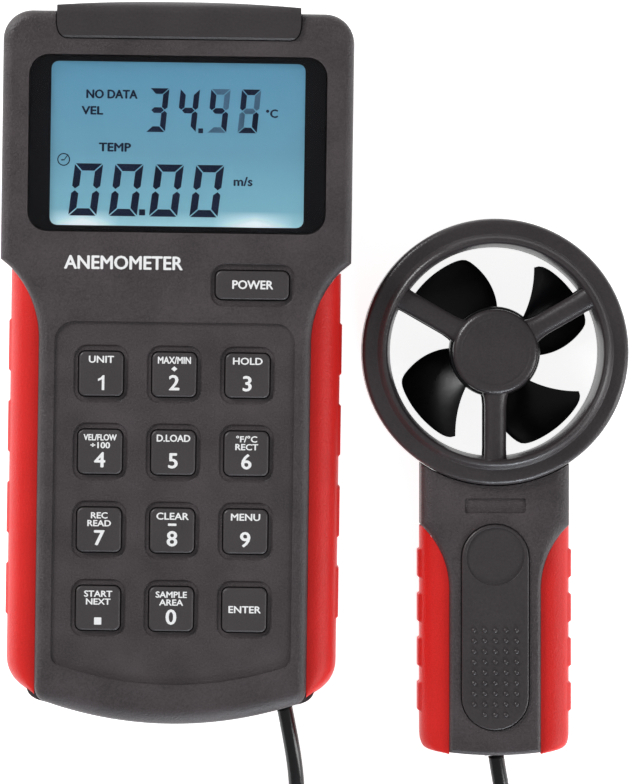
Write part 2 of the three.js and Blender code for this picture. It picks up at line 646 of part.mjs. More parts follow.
// ---------------------------------------------------------------- sensor: vane head
// The ring's section has a raised lip round its mouth and bores that widen to both faces.
function ring() {
  const { r, ridge, lip, crest, mouth, bore, depth } = RING;
  return turned([
    [bore, 7], [mouth, 0.9], [crest, 0], [ridge, 0], [r, 1.8], [r, depth - 3.4],
    [ridge, depth - 2], [lip, depth - 1.7], [crest, depth],
    [mouth, depth - 0.7], [bore, depth - 7], [bore, 7],
  ], 40);
}

// A half-round bar from the hub to the ring; `crown` is +1 where its round side faces up.
function spoke(angle, [low, high], crown) {
  const flatTo = crown > 0 ? high - SPOKE.w / 2 : low + SPOKE.w / 2;
  const shape = new THREE.Shape();
  if (crown > 0) {
    shape.moveTo(-SPOKE.w / 2, low);
    shape.lineTo(SPOKE.w / 2, low);
    shape.absarc(0, flatTo, SPOKE.w / 2, 0, Math.PI, false);
  } else {
    shape.moveTo(SPOKE.w / 2, high);
    shape.lineTo(-SPOKE.w / 2, high);
    shape.absarc(0, flatTo, SPOKE.w / 2, Math.PI, 2 * Math.PI, false);
  }
  const geometry = extruded(shape, 3, { depth: RING.crest - HUB.r + 2, bevelEnabled: false });
  geometry.rotateX(Math.PI / 2).rotateZ(Math.PI / 2).translate(HUB.r - 2, 0, 0);
  return solid(geometry.rotateZ(radians(angle)));
}

function headFront() {
  const [low, high] = HUB.front;
  const hub = turned([[0, low], [HUB.r, low], [HUB.r, high - 1], [HUB.r - 0.9, high], [0, high]], 28);
  const body = join(
    cut(ring(), below(RING_SEAM + GAP)), hub,
    ...SPOKE.angles.map((a) => spoke(a, SPOKE.front, 1)),
  );
  return cut(body, rod(0, 0, low - CUT, low + BEARING.length + 2 * GAP, BEARING.r + GAP, 14));
}

function headRear() {
  const [low, high] = HUB.rear;
  const hub = turned([[0, low], [HUB.r - 0.9, low], [HUB.r, low + 1], [HUB.r, high], [0, high]], 28);
  const neck = box([-NECK.half, NECK.half], [NECK.foot, -30], NECK.z);
  const body = join(
    cut(ring(), above(RING_SEAM)), hub, neck,
    ...SPOKE.angles.map((a) => spoke(a, SPOKE.rear, -1)),
  );
  return cut(
    body,
    rod(0, 0, high - BEARING.length - 2 * GAP, high + CUT, BEARING.r + GAP, 14),
    box([4.9, 9.1], [-2.1, 2.1], [high - 2.5, high + CUT]),
    box([-1.3, 1.3], [-21.3, -14.7], [SPOKE.rear[1] - 1.5, high]),
    rod(0, 0, 6, RING_SEAM + CUT, RING.bore, 40),
  );
}
addMesh(sensor, "head_front", charcoalSmooth, headFront());
addMesh(sensor, "head_rear", charcoalSmooth, headRear());

const bearing = (low) => cut(
  rod(0, 0, low, low + BEARING.length, BEARING.r, 14),
  rod(0, 0, low - 1, low + BEARING.length + 1, BEARING.bore, 12),
);
addMesh(sensor, "bearing_front", steel, bearing(HUB.front[0] + GAP));
addMesh(sensor, "bearing_rear", steel, bearing(HUB.rear[1] - GAP - BEARING.length));
addMesh(sensor, "pickup_sensor", chipBlack,
  box([5.2, 8.8], [-1.8, 1.8], [HUB.rear[1] - 2.2, HUB.rear[1] - 0.6]));

function thermistor() {
  const geometry = new THREE.CapsuleGeometry(0.85, 4.2, 3, 8);
  return solid(geometry.translate(0, -18, SPOKE.rear[1] - 0.35));
}
addMesh(sensor, "thermistor", chipBlack, thermistor());

// ---------------------------------------------------------------- sensor: rotor
// One blade: it climbs from its trailing edge to its leading edge and spreads towards the tip.
function blade(middle) {
  const [acrossSteps, alongSteps] = [5, 3];
  const root = { r: ROTOR.drum - 0.8, span: radians(38), lift: 6.5 };
  const tip = { r: ROTOR.tip, span: radians(52), lift: 8.6 };
  const centreZ = (ROTOR.z[0] + ROTOR.z[1]) / 2;
  const positions = [];
  const index = [];
  const at = (i, j, side) => (side * (acrossSteps + 1) + i) * (alongSteps + 1) + j;
  for (const side of [0, 1]) {
    for (let i = 0; i <= acrossSteps; i += 1) {
      for (let j = 0; j <= alongSteps; j += 1) {
        const t = j / alongSteps;
        const s = i / acrossSteps - 0.5;
        const r = THREE.MathUtils.lerp(root.r, tip.r, t);
        const angle = radians(middle) + s * THREE.MathUtils.lerp(root.span, tip.span, t);
        const rise = s * THREE.MathUtils.lerp(root.lift, tip.lift, t) + (side - 0.5) * ROTOR.thick;
        positions.push(r * Math.cos(angle), r * Math.sin(angle), centreZ + rise);
      }
    }
  }
  const quad = (a, b, c, d) => index.push(a, b, c, a, c, d);
  for (let i = 0; i < acrossSteps; i += 1) {
    for (let j = 0; j < alongSteps; j += 1) {
      quad(at(i, j, 1), at(i, j + 1, 1), at(i + 1, j + 1, 1), at(i + 1, j, 1));
      quad(at(i, j, 0), at(i + 1, j, 0), at(i + 1, j + 1, 0), at(i, j + 1, 0));
    }
    quad(at(i, 0, 0), at(i, 0, 1), at(i + 1, 0, 1), at(i + 1, 0, 0));
    quad(at(i, alongSteps, 1), at(i, alongSteps, 0), at(i + 1, alongSteps, 0), at(i + 1, alongSteps, 1));
  }
  for (let j = 0; j < alongSteps; j += 1) {
    quad(at(0, j, 1), at(0, j, 0), at(0, j + 1, 0), at(0, j + 1, 1));
    quad(at(acrossSteps, j, 0), at(acrossSteps, j, 1), at(acrossSteps, j + 1, 1), at(acrossSteps, j + 1, 0));
  }
  const geometry = new THREE.BufferGeometry();
  geometry.setAttribute("position", new THREE.Float32BufferAttribute(positions, 3));
  geometry.setIndex(index);
  return solid(geometry);
}

function rotor() {
  const [low, high] = ROTOR.z;
  const drum = turned([[0, low], [ROTOR.drum - 0.6, low], [ROTOR.drum, low + 0.6],
    [ROTOR.drum, high - 0.6], [ROTOR.drum - 0.6, high], [0, high]], 28);
  const blades = Array.from({ length: ROTOR.blades }, (_, k) =>
    blade(ROTOR.first + k * 360 / ROTOR.blades));
  return cut(
    join(drum, ...blades),
    rod(0, 0, low - 1, high + 1, SHAFT_R + GAP, 16),
    rod(7, 0, low - 1, low + 2.6, 1.9, 14),
  );
}
addMesh(sensor, "rotor", blackPlastic, rotor());
addMesh(sensor, "rotor_shaft", steel,
  rod(0, 0, HUB.rear[1] - BEARING.length, HUB.front[0] + BEARING.length, SHAFT_R, 14));
addMesh(sensor, "rotor_magnet", steel, rod(7, 0, ROTOR.z[0] + 0.3, ROTOR.z[0] + 2.2, 1.6, 14));

// ---------------------------------------------------------------- sensor: handle
// The handle's outline, drawn in by `inset`; it runs up under the ring, which is cut clear of it.
function handleOutline(half, inset) {
  const body = half - inset;
  const side = HANDLE_HALF - inset;
  const waistR = HANDLE_WAIST.r + inset;
  const meet = (x) => Math.PI - Math.acos(Math.min(1, (HANDLE_WAIST.x - x) / waistR));
  const footR = HANDLE_FOOT_R - inset;
  const path = new THREE.Path();
  path.absarc(0, HANDLE_FOOT + HANDLE_FOOT_R, footR, -Math.PI / 2, -Math.PI / 2 + Math.asin(body / footR));
  path.absarc(HANDLE_WAIST.x, HANDLE_WAIST.y, waistR, meet(body), meet(side), true);
  path.lineTo(side, -24);
  path.lineTo(0, -24);
  return symmetricShape(path, 2);
}

const ringClearance = rod(0, 0, -CUT, METER_THICK, RING.r + GAP, 40);
const neckClearance = box([-NECK.half - GAP, NECK.half + GAP], [NECK.foot - GAP, -24],
  [NECK.z[0] - GAP, NECK.z[1] + GAP]);
const handleBlock = join(
  softPrism(handleOutline(HANDLE_PLATEAU, 0), 0, HANDLE_THICK, HANDLE_EDGE),
  prism(handleOutline(HANDLE_CORE, 0), HANDLE_CORE_Z[0], HANDLE_CORE_Z[1]),
);

function handleHollow() {
  const inside = (half, z) => prism(handleOutline(half, WALL), z[0] + WALL, z[1] - WALL);
  const stop = box([-40, 40], [-44, 0], [-CUT, METER_THICK]);
  return cut(join(inside(HANDLE_PLATEAU, [0, HANDLE_THICK - 0.8]), inside(HANDLE_CORE, HANDLE_CORE_Z)), stop);
}

function thumbOutline(grow) {
  const shape = new THREE.Shape();
  const r = THUMB.half + grow;
  shape.absarc(0, THUMB.foot + THUMB.half, r, Math.PI, 2 * Math.PI, false);
  shape.absarc(0, THUMB.top - THUMB.half, r, 0, Math.PI, false);
  return shape;
}

function handleFront() {
  const post = (y) => rod(0, y, HANDLE_SEAM + GAP, HANDLE_THICK - WALL, 2.6, 10);
  const shell = join(
    cut(handleBlock, handleHollow(), below(HANDLE_SEAM + GAP)), ...HANDLE_SCREWS.map(post),
  );
  return cut(
    shell, ringClearance, neckClearance,
    ...HANDLE_SCREWS.map((y) => rod(0, y, HANDLE_SEAM - CUT, 20, 1.35, 10)),
    flat(LABEL.w, LABEL.h, 0.6, LABEL.y, HANDLE_THICK - LABEL.depth, HANDLE_THICK + CUT),
    prism(thumbOutline(GAP), THUMB.z[0] - GAP, HANDLE_THICK + CUT, 8),
    exitRod(SENSOR_EXIT, GROMMET.r + GAP, 10, 4),
  );
}

function handleRear() {
  const post = (y) => rod(0, y, WALL - 0.2, HANDLE_SEAM, 3.6, 10);
  const shell = join(
    cut(handleBlock, handleHollow(), above(HANDLE_SEAM)), ...HANDLE_SCREWS.map(post),
  );
  return cut(
    shell, ringClearance, neckClearance,
    ...HANDLE_SCREWS.map((y) => rod(0, y, -CUT, 2.6, 2.7, 10)),
    ...HANDLE_SCREWS.map((y) => rod(0, y, -CUT, HANDLE_SEAM + CUT, 1.35, 10)),
    exitRod(SENSOR_EXIT, GROMMET.r + GAP, 10, 4),
  );
}
addMesh(sensor, "handle_front", charcoal, handleFront());
addMesh(sensor, "handle_rear", charcoal, handleRear());
addMesh(sensor, "thumb_pad", charcoalSmooth, cut(
  prism(thumbOutline(0), THUMB.z[0], THUMB.z[1], 8),
  rod(0, THUMB.discY, THUMB.z[1] - 0.5, METER_THICK, THUMB.discR, 20),
));
addMesh(sensor, "sensor_board", boardGreen, box([-8.5, 8.5], [-79, -55], [11, 12.6]));
HANDLE_SCREWS.forEach((y, i) => {
  const screw = join(rod(0, y, 0.5, 2.3, 2.4, 14), rod(0, y, 2, 18, 1.05, 10));
  addMesh(sensor, `handle_screw_${i + 1}`, steel, screw);
});

// ---------------------------------------------------------------- sensor: grips
function sensorGripPlan() {
  const { half, dip, foot, inner } = SENSOR_GRIP;
  const side = half - dip;
  const waistR = HANDLE_WAIST.r - GAP;
  const shape = new THREE.Shape();
  shape.moveTo(inner, foot - 1.4);
  shape.absarc(HANDLE_WAIST.x, HANDLE_WAIST.y, waistR, Math.PI,
    Math.PI - Math.acos((HANDLE_WAIST.x - side) / waistR), true);
  for (let i = 0; i < SENSOR_BUMP.count; i += 1) {
    const middle = SENSOR_BUMP.first - i * SENSOR_BUMP.pitch;
    const reach = SENSOR_BUMP.length / 2;
    shape.lineTo(side, middle + reach);
    shape.lineTo(half, middle + reach - SENSOR_BUMP.ramp);
    shape.lineTo(half, middle - reach + SENSOR_BUMP.ramp);
    shape.lineTo(side, middle - reach);
  }
  shape.lineTo(side, foot + 3);
  shape.quadraticCurveTo(side, foot - 0.4, side - 2.6, foot - 0.5);
  return shape;
}

function sensorGripSection() {
  const { half, z, inner } = SENSOR_GRIP;
  const core = HANDLE_CORE + GAP;
  const shape = new THREE.Shape();
  shape.moveTo(core, HANDLE_CORE_Z[0] - GAP);
  shape.lineTo(inner, HANDLE_CORE_Z[0] - GAP);
  shape.lineTo(inner, z[0]);
  shape.bezierCurveTo(17, z[0], half, 4.5, half, 8);
  shape.lineTo(half, 16);
  shape.bezierCurveTo(half, 19.5, 17, z[1], inner, z[1]);
  shape.lineTo(inner, HANDLE_CORE_Z[1] + GAP);
  shape.lineTo(core, HANDLE_CORE_Z[1] + GAP);
  return shape;
}

for (const [name, side] of [["sensor_grip_left", -1], ["sensor_grip_right", 1]]) {
  const along = prismAlongY(mirrorShape(sensorGripSection(), side), HANDLE_FOOT - CUT, -40);
  addMesh(sensor, name, redRubber,
    along.intersect(prism(mirrorShape(sensorGripPlan(), side), 0, METER_THICK)));
}

// ---------------------------------------------------------------- origin
// The origin lies under the middle of the two housings, on the surface that they rest on.
object.remove(cord);
object.updateMatrixWorld(true);
const standing = new THREE.Box3().setFromObject(object, true).getCenter(new THREE.Vector3());
object.add(cord);
object.position.set(-standing.x, -standing.y, 0);

export default object;
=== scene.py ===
import math

import bmesh
import bpy
from mathutils import Matrix, Vector


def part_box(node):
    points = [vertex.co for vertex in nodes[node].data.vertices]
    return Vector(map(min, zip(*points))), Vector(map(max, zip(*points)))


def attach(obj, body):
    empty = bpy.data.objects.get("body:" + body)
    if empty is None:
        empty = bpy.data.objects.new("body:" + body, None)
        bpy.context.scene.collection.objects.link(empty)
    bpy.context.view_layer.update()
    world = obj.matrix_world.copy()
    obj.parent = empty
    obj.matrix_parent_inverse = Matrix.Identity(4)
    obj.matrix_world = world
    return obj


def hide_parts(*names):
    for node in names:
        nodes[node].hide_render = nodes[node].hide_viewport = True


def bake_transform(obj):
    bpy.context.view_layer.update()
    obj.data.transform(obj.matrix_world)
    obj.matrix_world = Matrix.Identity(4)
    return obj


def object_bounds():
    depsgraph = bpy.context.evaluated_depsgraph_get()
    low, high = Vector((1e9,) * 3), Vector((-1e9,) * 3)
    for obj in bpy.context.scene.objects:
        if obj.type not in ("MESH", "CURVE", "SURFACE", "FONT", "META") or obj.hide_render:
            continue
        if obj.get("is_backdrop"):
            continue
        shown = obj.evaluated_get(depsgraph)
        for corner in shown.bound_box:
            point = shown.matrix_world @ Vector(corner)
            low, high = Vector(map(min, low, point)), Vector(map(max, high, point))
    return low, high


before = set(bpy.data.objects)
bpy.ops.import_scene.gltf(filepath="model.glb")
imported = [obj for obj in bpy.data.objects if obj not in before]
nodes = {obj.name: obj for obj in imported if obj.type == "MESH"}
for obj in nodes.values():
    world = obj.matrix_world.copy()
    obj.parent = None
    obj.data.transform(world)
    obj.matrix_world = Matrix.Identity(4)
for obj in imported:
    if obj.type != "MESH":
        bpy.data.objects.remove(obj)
cad_low, cad_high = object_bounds()
scene = bpy.context.scene

# ---------------------------------------------------------------- frames of the two units, in mm
MM = 0.001
HEAD_TOP = 87.3
SENSOR_TURN = math.radians(0.8)
cover_low, cover_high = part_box("front_cover")
shaft_low, shaft_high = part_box("rotor_shaft")
meter_origin = Vector(((cover_low.x + cover_high.x) / 2, cover_high.y - HEAD_TOP * MM, 0))
sensor_origin = (shaft_low + shaft_high) / 2
sensor_origin.z = 0
METER = Matrix.Translation(meter_origin) @ Matrix.Scale(MM, 4)
SENSOR = (Matrix.Translation(sensor_origin) @ Matrix.Rotation(SENSOR_TURN, 4, "Z")
          @ Matrix.Scale(MM, 4))
FACE = 36.0  # height of the display unit's face

# Display unit's outlines, about its own centre line
HEAD_HALF, HEAD_CORNER_R, HEAD_FOOT_Y = 43.65, 7.3, 25.4
PLATEAU_HALF = 33.85  # raised middle of the lower case, between the grips
CORE_HALF = 36.0  # lower case under the grips
WAIST_X, WAIST_Y, WAIST_R, WAIST_END = 59.35, 5.5, 25.5, 135.4  # hollow under each side of the head
FOOT_Y, FOOT_R, FOOT_HALF = -90.0, 96.0, 30.4
PAD_TOP_Y, PAD_FOOT_Y, PAD_R, PAD_HALF, PAD_CORNER_R = 10.15, -80.1, 88.0, 29.9, 5.0
PORT_TOP_Y, PORT_FOOT_Y, PORT_R, PORT_HALF = 89.9, 80.6, 384.0, 30.35
KEY_X, KEY_Y = 18.2, (-2.9, -22.3, -41.7, -61.2)
POWER_X, POWER_Y = 19.1, 19.6
SCREEN_Y = 54.4

# Sensor's handle, about the vane's axis
HANDLE_FOOT_Y, HANDLE_FOOT_R, HANDLE_TOP_Y = -101.3, 90.0, -24.0
SHOULDER_HALF, CORE_GRIP_HALF, PLATEAU_GRIP_HALF = 18.6, 15.2, 11.45
HOLLOW_X, HOLLOW_Y, HOLLOW_R = 33.45, -59.7, 22.0  # hollow under each shoulder
THUMB_HALF, THUMB_TOP, THUMB_FOOT = 8.4, -43.3, -94.9


def at_meter(x, y, z):
    return METER @ Vector((x, y, z))


# ---------------------------------------------------------------- camera
camera_data = bpy.data.cameras.new("camera")
camera = bpy.data.objects.new("camera", camera_data)
scene.collection.objects.link(camera)
scene.camera = camera
camera_data.lens, camera_data.sensor_width = 277, 36
# It looks almost straight down, from 1.5 m above the face
aim, eye = at_meter(35.3, -6.7, FACE), at_meter(26, 8, FACE + 1500)
back = (eye - aim).normalized()
picture_up = Vector((-math.sin(SENSOR_TURN), math.cos(SENSOR_TURN), 0))
right = picture_up.cross(back).normalized()
up = back.cross(right)
camera.matrix_world = Matrix.Translation(eye) @ Matrix((right, up, back)).transposed().to_4x4()
camera_data.clip_start, camera_data.clip_end = 0.05, 20


# ---------------------------------------------------------------- materials
def new_material(name):
    made = bpy.data.materials.new(name)
    made.use_nodes = True
    tree = made.node_tree
    return made, tree, tree.nodes["Principled BSDF"]


def noise(tree, scale, detail=3.0, stretch=(1, 1, 1)):
    """A noise over the object's own place, in features of about 1/scale metres."""
    where = tree.nodes.new("ShaderNodeTexCoord")
    mapping = tree.nodes.new("ShaderNodeMapping")
    mapping.inputs["Scale"].default_value = stretch
    made = tree.nodes.new("ShaderNodeTexNoise")
    made.inputs["Scale"].default_value = scale
    made.inputs["Detail"].default_value = detail
    tree.links.new(where.outputs["Object"], mapping.inputs["Vector"])
    tree.links.new(mapping.outputs["Vector"], made.inputs["Vector"])
    return made


def ramp(tree, source, stops):
    made = tree.nodes.new("ShaderNodeValToRGB")
    made.color_ramp.elements[0].position, made.color_ramp.elements[0].color = stops[0]
    made.color_ramp.elements[1].position, made.color_ramp.elements[1].color = stops[-1]
    for position, color in stops[1:-1]:
        made.color_ramp.elements.new(position).color = color
    tree.links.new(source, made.inputs["Fac"])
    return made


def span(tree, source, low, high):
    """The source, which runs from 0 to 1, brought to low to high."""
    made = tree.nodes.new("ShaderNodeMapRange")
    made.inputs["To Min"].default_value, made.inputs["To Max"].default_value = low, high
    tree.links.new(source, made.inputs["Value"])
    return made.outputs["Result"]


def bump(tree, shader, source, distance):
    made = tree.nodes.new("ShaderNodeBump")
    made.inputs["Distance"].default_value = distance
    made.inputs["Strength"].default_value = 1
    tree.links.new(source, made.inputs["Height"])
    tree.links.new(made.outputs["Normal"], shader.inputs["Normal"])


def moulded(name, color, vary, rough, grain, depth, metal=0.0, stretch=(1, 1, 1), specular=0.5):
    """A moulded or drawn surface, its colour uneven by the share vary, and its gloss by a little.
    Its relief has grain features to the metre, and is depth metres deep."""
    made, tree, shader = new_material(name)
    fine, broad = noise(tree, grain, 4, stretch), noise(tree, 90, 3)
    mixed = tree.nodes.new("ShaderNodeMath")
    mixed.operation = "MULTIPLY_ADD"
    mixed.inputs[1].default_value, mixed.inputs[2].default_value = 0.6, 0.0
    tree.links.new(fine.outputs["Fac"], mixed.inputs[0])
    total = tree.nodes.new("ShaderNodeMath")
    tree.links.new(mixed.outputs[0], total.inputs[0])
    half = tree.nodes.new("ShaderNodeMath")
    half.operation = "MULTIPLY"
    half.inputs[1].default_value = 0.4
    tree.links.new(broad.outputs["Fac"], half.inputs[0])
    tree.links.new(half.outputs[0], total.inputs[1])
    dark = [c * (1 - vary) for c in color]
    light = [min(1, c * (1 + vary)) for c in color]
    colors = ramp(tree, total.outputs[0], [(0.35, (*dark, 1)), (0.65, (*light, 1))])
    tree.links.new(colors.outputs["Color"], shader.inputs["Base Color"])
    tree.links.new(span(tree, total.outputs[0], rough - 0.08, rough + 0.08),
                   shader.inputs["Roughness"])
    shader.inputs["Metallic"].default_value = metal
    shader.inputs["Specular IOR Level"].default_value = specular
    bump(tree, shader, fine.outputs["Fac"], depth)
    return made


charcoal = moulded("charcoal_case", (0.052, 0.042, 0.045), 0.36, 0.44, 2400, 0.00018)
smooth_case = moulded("smooth_case", (0.040, 0.034, 0.036), 0.16, 0.38, 1800, 0.00006)
red_grip = moulded("red_grip", (0.66, 0.018, 0.015), 0.07, 0.4, 2400, 0.00010, specular=0.25)
key_plastic = moulded("key_plastic", (0.050, 0.043, 0.045), 0.14, 0.46, 2600, 0.00007)
rotor_plastic = moulded("rotor_plastic", (0.004, 0.004, 0.005), 0.2, 0.3, 700, 0.00002, specular=0.25)
head_plastic = moulded("head_plastic", (0.038, 0.032, 0.034), 0.22, 0.32, 2200, 0.00006)
mask_black = moulded("mask_black", (0.004, 0.004, 0.006), 0.2, 0.3, 1500, 0.000002, specular=0.2)
light_guide = moulded("light_guide", (0.72, 0.84, 0.88), 0.04, 0.4, 900, 0.00002)
silicone = moulded("silicone", (0.28, 0.30, 0.31), 0.06, 0.65, 1800, 0.00003)
steel = moulded("steel", (0.62, 0.62, 0.64), 0.12, 0.3, 900, 0.00002, metal=1.0,
                stretch=(1, 1, 0.1))
chip_black = moulded("chip_black", (0.012, 0.012, 0.013), 0.2, 0.5, 3000, 0.00002)
battery_wrap = moulded("battery_wrap", (0.15, 0.17, 0.21), 0.1, 0.32, 500, 0.00002, metal=0.4)
lead_red = moulded("lead_red", (0.45, 0.015, 0.013), 0.1, 0.4, 1500, 0.00002)
lead_black = moulded("lead_black", (0.006, 0.006, 0.006), 0.2, 0.4, 1500, 0.00002)
sheath = moulded("cable_sheath", (0.006, 0.006, 0.007), 0.25, 0.22, 1600, 0.00002)
strap = moulded("strap", (0.012, 0.012, 0.012), 0.3, 0.85, 3500, 0.00012, stretch=(1, 1, 3))
print_white = moulded("print_white", (0.9, 0.9, 0.9), 0.04, 0.5, 3000, 0.00001)
ink = moulded("lcd_ink", (0.010, 0.018, 0.052), 0.15, 0.45, 2000, 0.00001, specular=0.2)
ink_faint = moulded("lcd_ink_faint", (0.07, 0.17, 0.27), 0.1, 0.35, 2000, 0.00001)


def board_material():
    made, tree, shader = new_material("circuit_board")
    tracks = tree.nodes.new("ShaderNodeTexBrick")
    where = tree.nodes.new("ShaderNodeTexCoord")
    tree.links.new(where.outputs["Object"], tracks.inputs["Vector"])
    tracks.inputs["Scale"].default_value = 260
    tracks.inputs["Mortar Size"].default_value = 0.03
    tracks.inputs["Color1"].default_value = (0.012, 0.10, 0.035, 1)
    tracks.inputs["Color2"].default_value = (0.016, 0.13, 0.045, 1)
    tracks.inputs["Mortar"].default_value = (0.03, 0.22, 0.08, 1)
    tree.links.new(tracks.outputs["Color"], shader.inputs["Base Color"])
    tree.links.new(span(tree, noise(tree, 400).outputs["Fac"], 0.3, 0.5), shader.inputs["Roughness"])
    bump(tree, shader, tracks.outputs["Fac"], 0.00003)
    return made


def window_material():
    made, tree, shader = new_material("window")
    shader.inputs["Base Color"].default_value = (0.97, 0.98, 1, 1)
    shader.inputs["Transmission Weight"].default_value = 1
    shader.inputs["IOR"].default_value = 1.14
    tree.links.new(span(tree, noise(tree, 300).outputs["Fac"], 0.0, 0.04), shader.inputs["Roughness"])
    return made


def lcd_material(low, high):
    """Blue backlight, with the bright mouths of the lamps along its lower edge."""
    made, tree, shader = new_material("lcd")
    where = tree.nodes.new("ShaderNodeTexCoord")
    mapping = tree.nodes.new("ShaderNodeMapping")
    size = high - low
    mapping.inputs["Location"].default_value = (-low.x / size.x, -low.y / size.y, 0)
    mapping.inputs["Scale"].default_value = (1 / size.x, 1 / size.y, 1)
    tree.links.new(where.outputs["Object"], mapping.inputs["Vector"])
    parts = tree.nodes.new("ShaderNodeSeparateXYZ")
    tree.links.new(mapping.outputs["Vector"], parts.inputs["Vector"])
    blue = ramp(tree, parts.outputs["Y"], [
        (0.0, (0.22, 0.47, 0.53, 1)), (0.1, (0.15, 0.345, 0.42, 1)), (0.45, (0.105, 0.26, 0.345, 1)),
        (1.0, (0.078, 0.225, 0.33, 1))])
    mottle = noise(tree, 160, 2)
    glow = tree.nodes.new("ShaderNodeMath")
    glow.operation = "MULTIPLY"
    rise = ramp(tree, parts.outputs["Y"], [(0.0, (1, 1, 1, 1)), (0.035, (0.6, 0.6, 0.6, 1)),
                                           (0.10, (0, 0, 0, 1))])
    lamps = ramp(tree, parts.outputs["X"], [
        (0.0, (0.1, 0.1, 0.1, 1)), (0.14, (1, 1, 1, 1)), (0.28, (0.1, 0.1, 0.1, 1)),
        (0.64, (0.1, 0.1, 0.1, 1)), (0.80, (1, 1, 1, 1)), (0.95, (0.1, 0.1, 0.1, 1))])
    tree.links.new(rise.outputs["Color"], glow.inputs[0])
    tree.links.new(lamps.outputs["Color"], glow.inputs[1])
    mixed = tree.nodes.new("ShaderNodeMix")
    mixed.data_type = "RGBA"
    tree.links.new(glow.outputs[0], mixed.inputs["Factor"])
    tree.links.new(blue.outputs["Color"], mixed.inputs["A"])
    mixed.inputs["B"].default_value = (0.95, 1, 1, 1)
    tree.links.new(mixed.outputs["Result"], shader.inputs["Emission Color"])
    tree.links.new(mixed.outputs["Result"], shader.inputs["Base Color"])
    shader.inputs["Emission Strength"].default_value = 0.62
    tree.links.new(span(tree, mottle.outputs["Fac"], 0.25, 0.4), shader.inputs["Roughness"])
    return made


board_green = board_material()
window_clear = window_material()
lcd_blue = lcd_material(*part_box("lcd_panel"))


# ---------------------------------------------------------------- outlines, in mm
def arc(x, y, r, start, end, steps):
    """Points along an arc round (x, y), between angles in degrees."""
    angles = [math.radians(start + (end - start) * i / steps) for i in range(steps + 1)]
    return [Vector((x + r * math.cos(a), y + r * math.sin(a))) for a in angles]


def bezier(points, steps):
    """Points along the Bezier curve that the given points steer."""
    made = []
    for i in range(steps + 1):
        level = [Vector(p) for p in points]
        while len(level) > 1:
            level = [a.lerp(b, i / steps) for a, b in zip(level, level[1:])]
        made.append(level[0])
    return made


def distinct(points):
    """The points without repeats, counting the last one's step back to the first."""
    kept = []
    for p in points:
        if not kept or (p - kept[-1]).length > 1e-3:
            kept.append(p)
    return kept[:-1] if (kept[0] - kept[-1]).length < 1e-3 else kept


def symmetric(right_side):
    """A closed outline from its right side, which runs up from the centre line, and its mirror image."""
    left = [Vector((-p.x, p.y)) for p in reversed(right_side) if p.x > 1e-6]
    return distinct(right_side + left)


def rounded_rect(w, h, r, x=0.0, y=0.0, steps=6):
    made = []
    for cx, cy, start in ((w / 2 - r, -h / 2 + r, -90), (w / 2 - r, h / 2 - r, 0),
                          (-w / 2 + r, h / 2 - r, 90), (-w / 2 + r, -h / 2 + r, 180)):
        made += arc(x + cx, y + cy, r, start, start + 90, steps)
    return distinct(made)


def inset(points, d):
    """The outline drawn in by d; it runs counter-clockwise."""
    made = []
    for i, p in enumerate(points):
        before = (p - points[i - 1]).normalized()
        after = (points[(i + 1) % len(points)] - p).normalized()
        n0, n1 = Vector((-before.y, before.x)), Vector((-after.y, after.x))
        middle = (n0 + n1).normalized()
        made.append(p + middle * (d / max(middle.dot(n0), 0.5)))
    return made


def case_outline(half):
    """The display unit, with its lower case as wide as half on each side."""
    centre, swing = FOOT_Y + FOOT_R, math.degrees(math.asin(FOOT_HALF / FOOT_R))
    corner = centre - FOOT_R * math.cos(math.radians(swing))
    start = math.degrees(math.acos(max(-1, (half - WAIST_X) / WAIST_R)))
    return symmetric(
        arc(0, centre, FOOT_R, -90, -90 + swing, 16)
        + bezier([(FOOT_HALF, corner), (half, corner + 0.6), (half, corner + 4.4)], 8)
        + arc(WAIST_X, WAIST_Y, WAIST_R, start, WAIST_END, 16)
        + [Vector((HEAD_HALF, HEAD_FOOT_Y))]
        + arc(HEAD_HALF - HEAD_CORNER_R, HEAD_TOP - HEAD_CORNER_R, HEAD_CORNER_R, 0, 90, 12)
        + [Vector((0, HEAD_TOP))])


def pad_outline():
    """The sunk field that holds the keys."""
    corner_x, corner_y = PAD_HALF - 2.5, PAD_FOOT_Y + 7.6
    centre, swing = PAD_FOOT_Y + PAD_R, math.degrees(math.asin(corner_x / PAD_R))
    low_y = centre - PAD_R * math.cos(math.radians(swing))
    return symmetric(
        arc(0, centre, PAD_R, -90, -90 + swing, 14)
        + bezier([(corner_x, low_y), (PAD_HALF, corner_y - 2.8), (PAD_HALF, corner_y)], 6)
        + arc(PAD_HALF - PAD_CORNER_R, PAD_TOP_Y - PAD_CORNER_R, PAD_CORNER_R, 0, 90, 8)
        + [Vector((0, PAD_TOP_Y))])


def port_outline():
    """The raised cover over the top end."""
    swing = math.degrees(math.asin(PORT_HALF / PORT_R))
    return symmetric(
        [Vector((0, PORT_FOOT_Y))]
        + bezier([(PORT_HALF - 2.8, PORT_FOOT_Y), (PORT_HALF, PORT_FOOT_Y),
                  (PORT_HALF, PORT_FOOT_Y + 4.5)], 8)
        + arc(0, PORT_TOP_Y - PORT_R, PORT_R, 90 - swing, 90, 12))


def handle_outline(half):
    """The sensor's handle, with its grip as wide as half on each side."""
    def meet(x):
        """Angle at which the hollow under the shoulder reaches x."""
        return 180 - math.degrees(math.acos(min(1, (HOLLOW_X - x) / HOLLOW_R)))
    foot_swing = math.degrees(math.asin(half / HANDLE_FOOT_R))
    return symmetric(
        arc(0, HANDLE_FOOT_Y + HANDLE_FOOT_R, HANDLE_FOOT_R, -90, -90 + foot_swing, 6)
        + arc(HOLLOW_X, HOLLOW_Y, HOLLOW_R, meet(half), meet(SHOULDER_HALF), 14)
        + [Vector((SHOULDER_HALF, HANDLE_TOP_Y)), Vector((0, HANDLE_TOP_Y))])


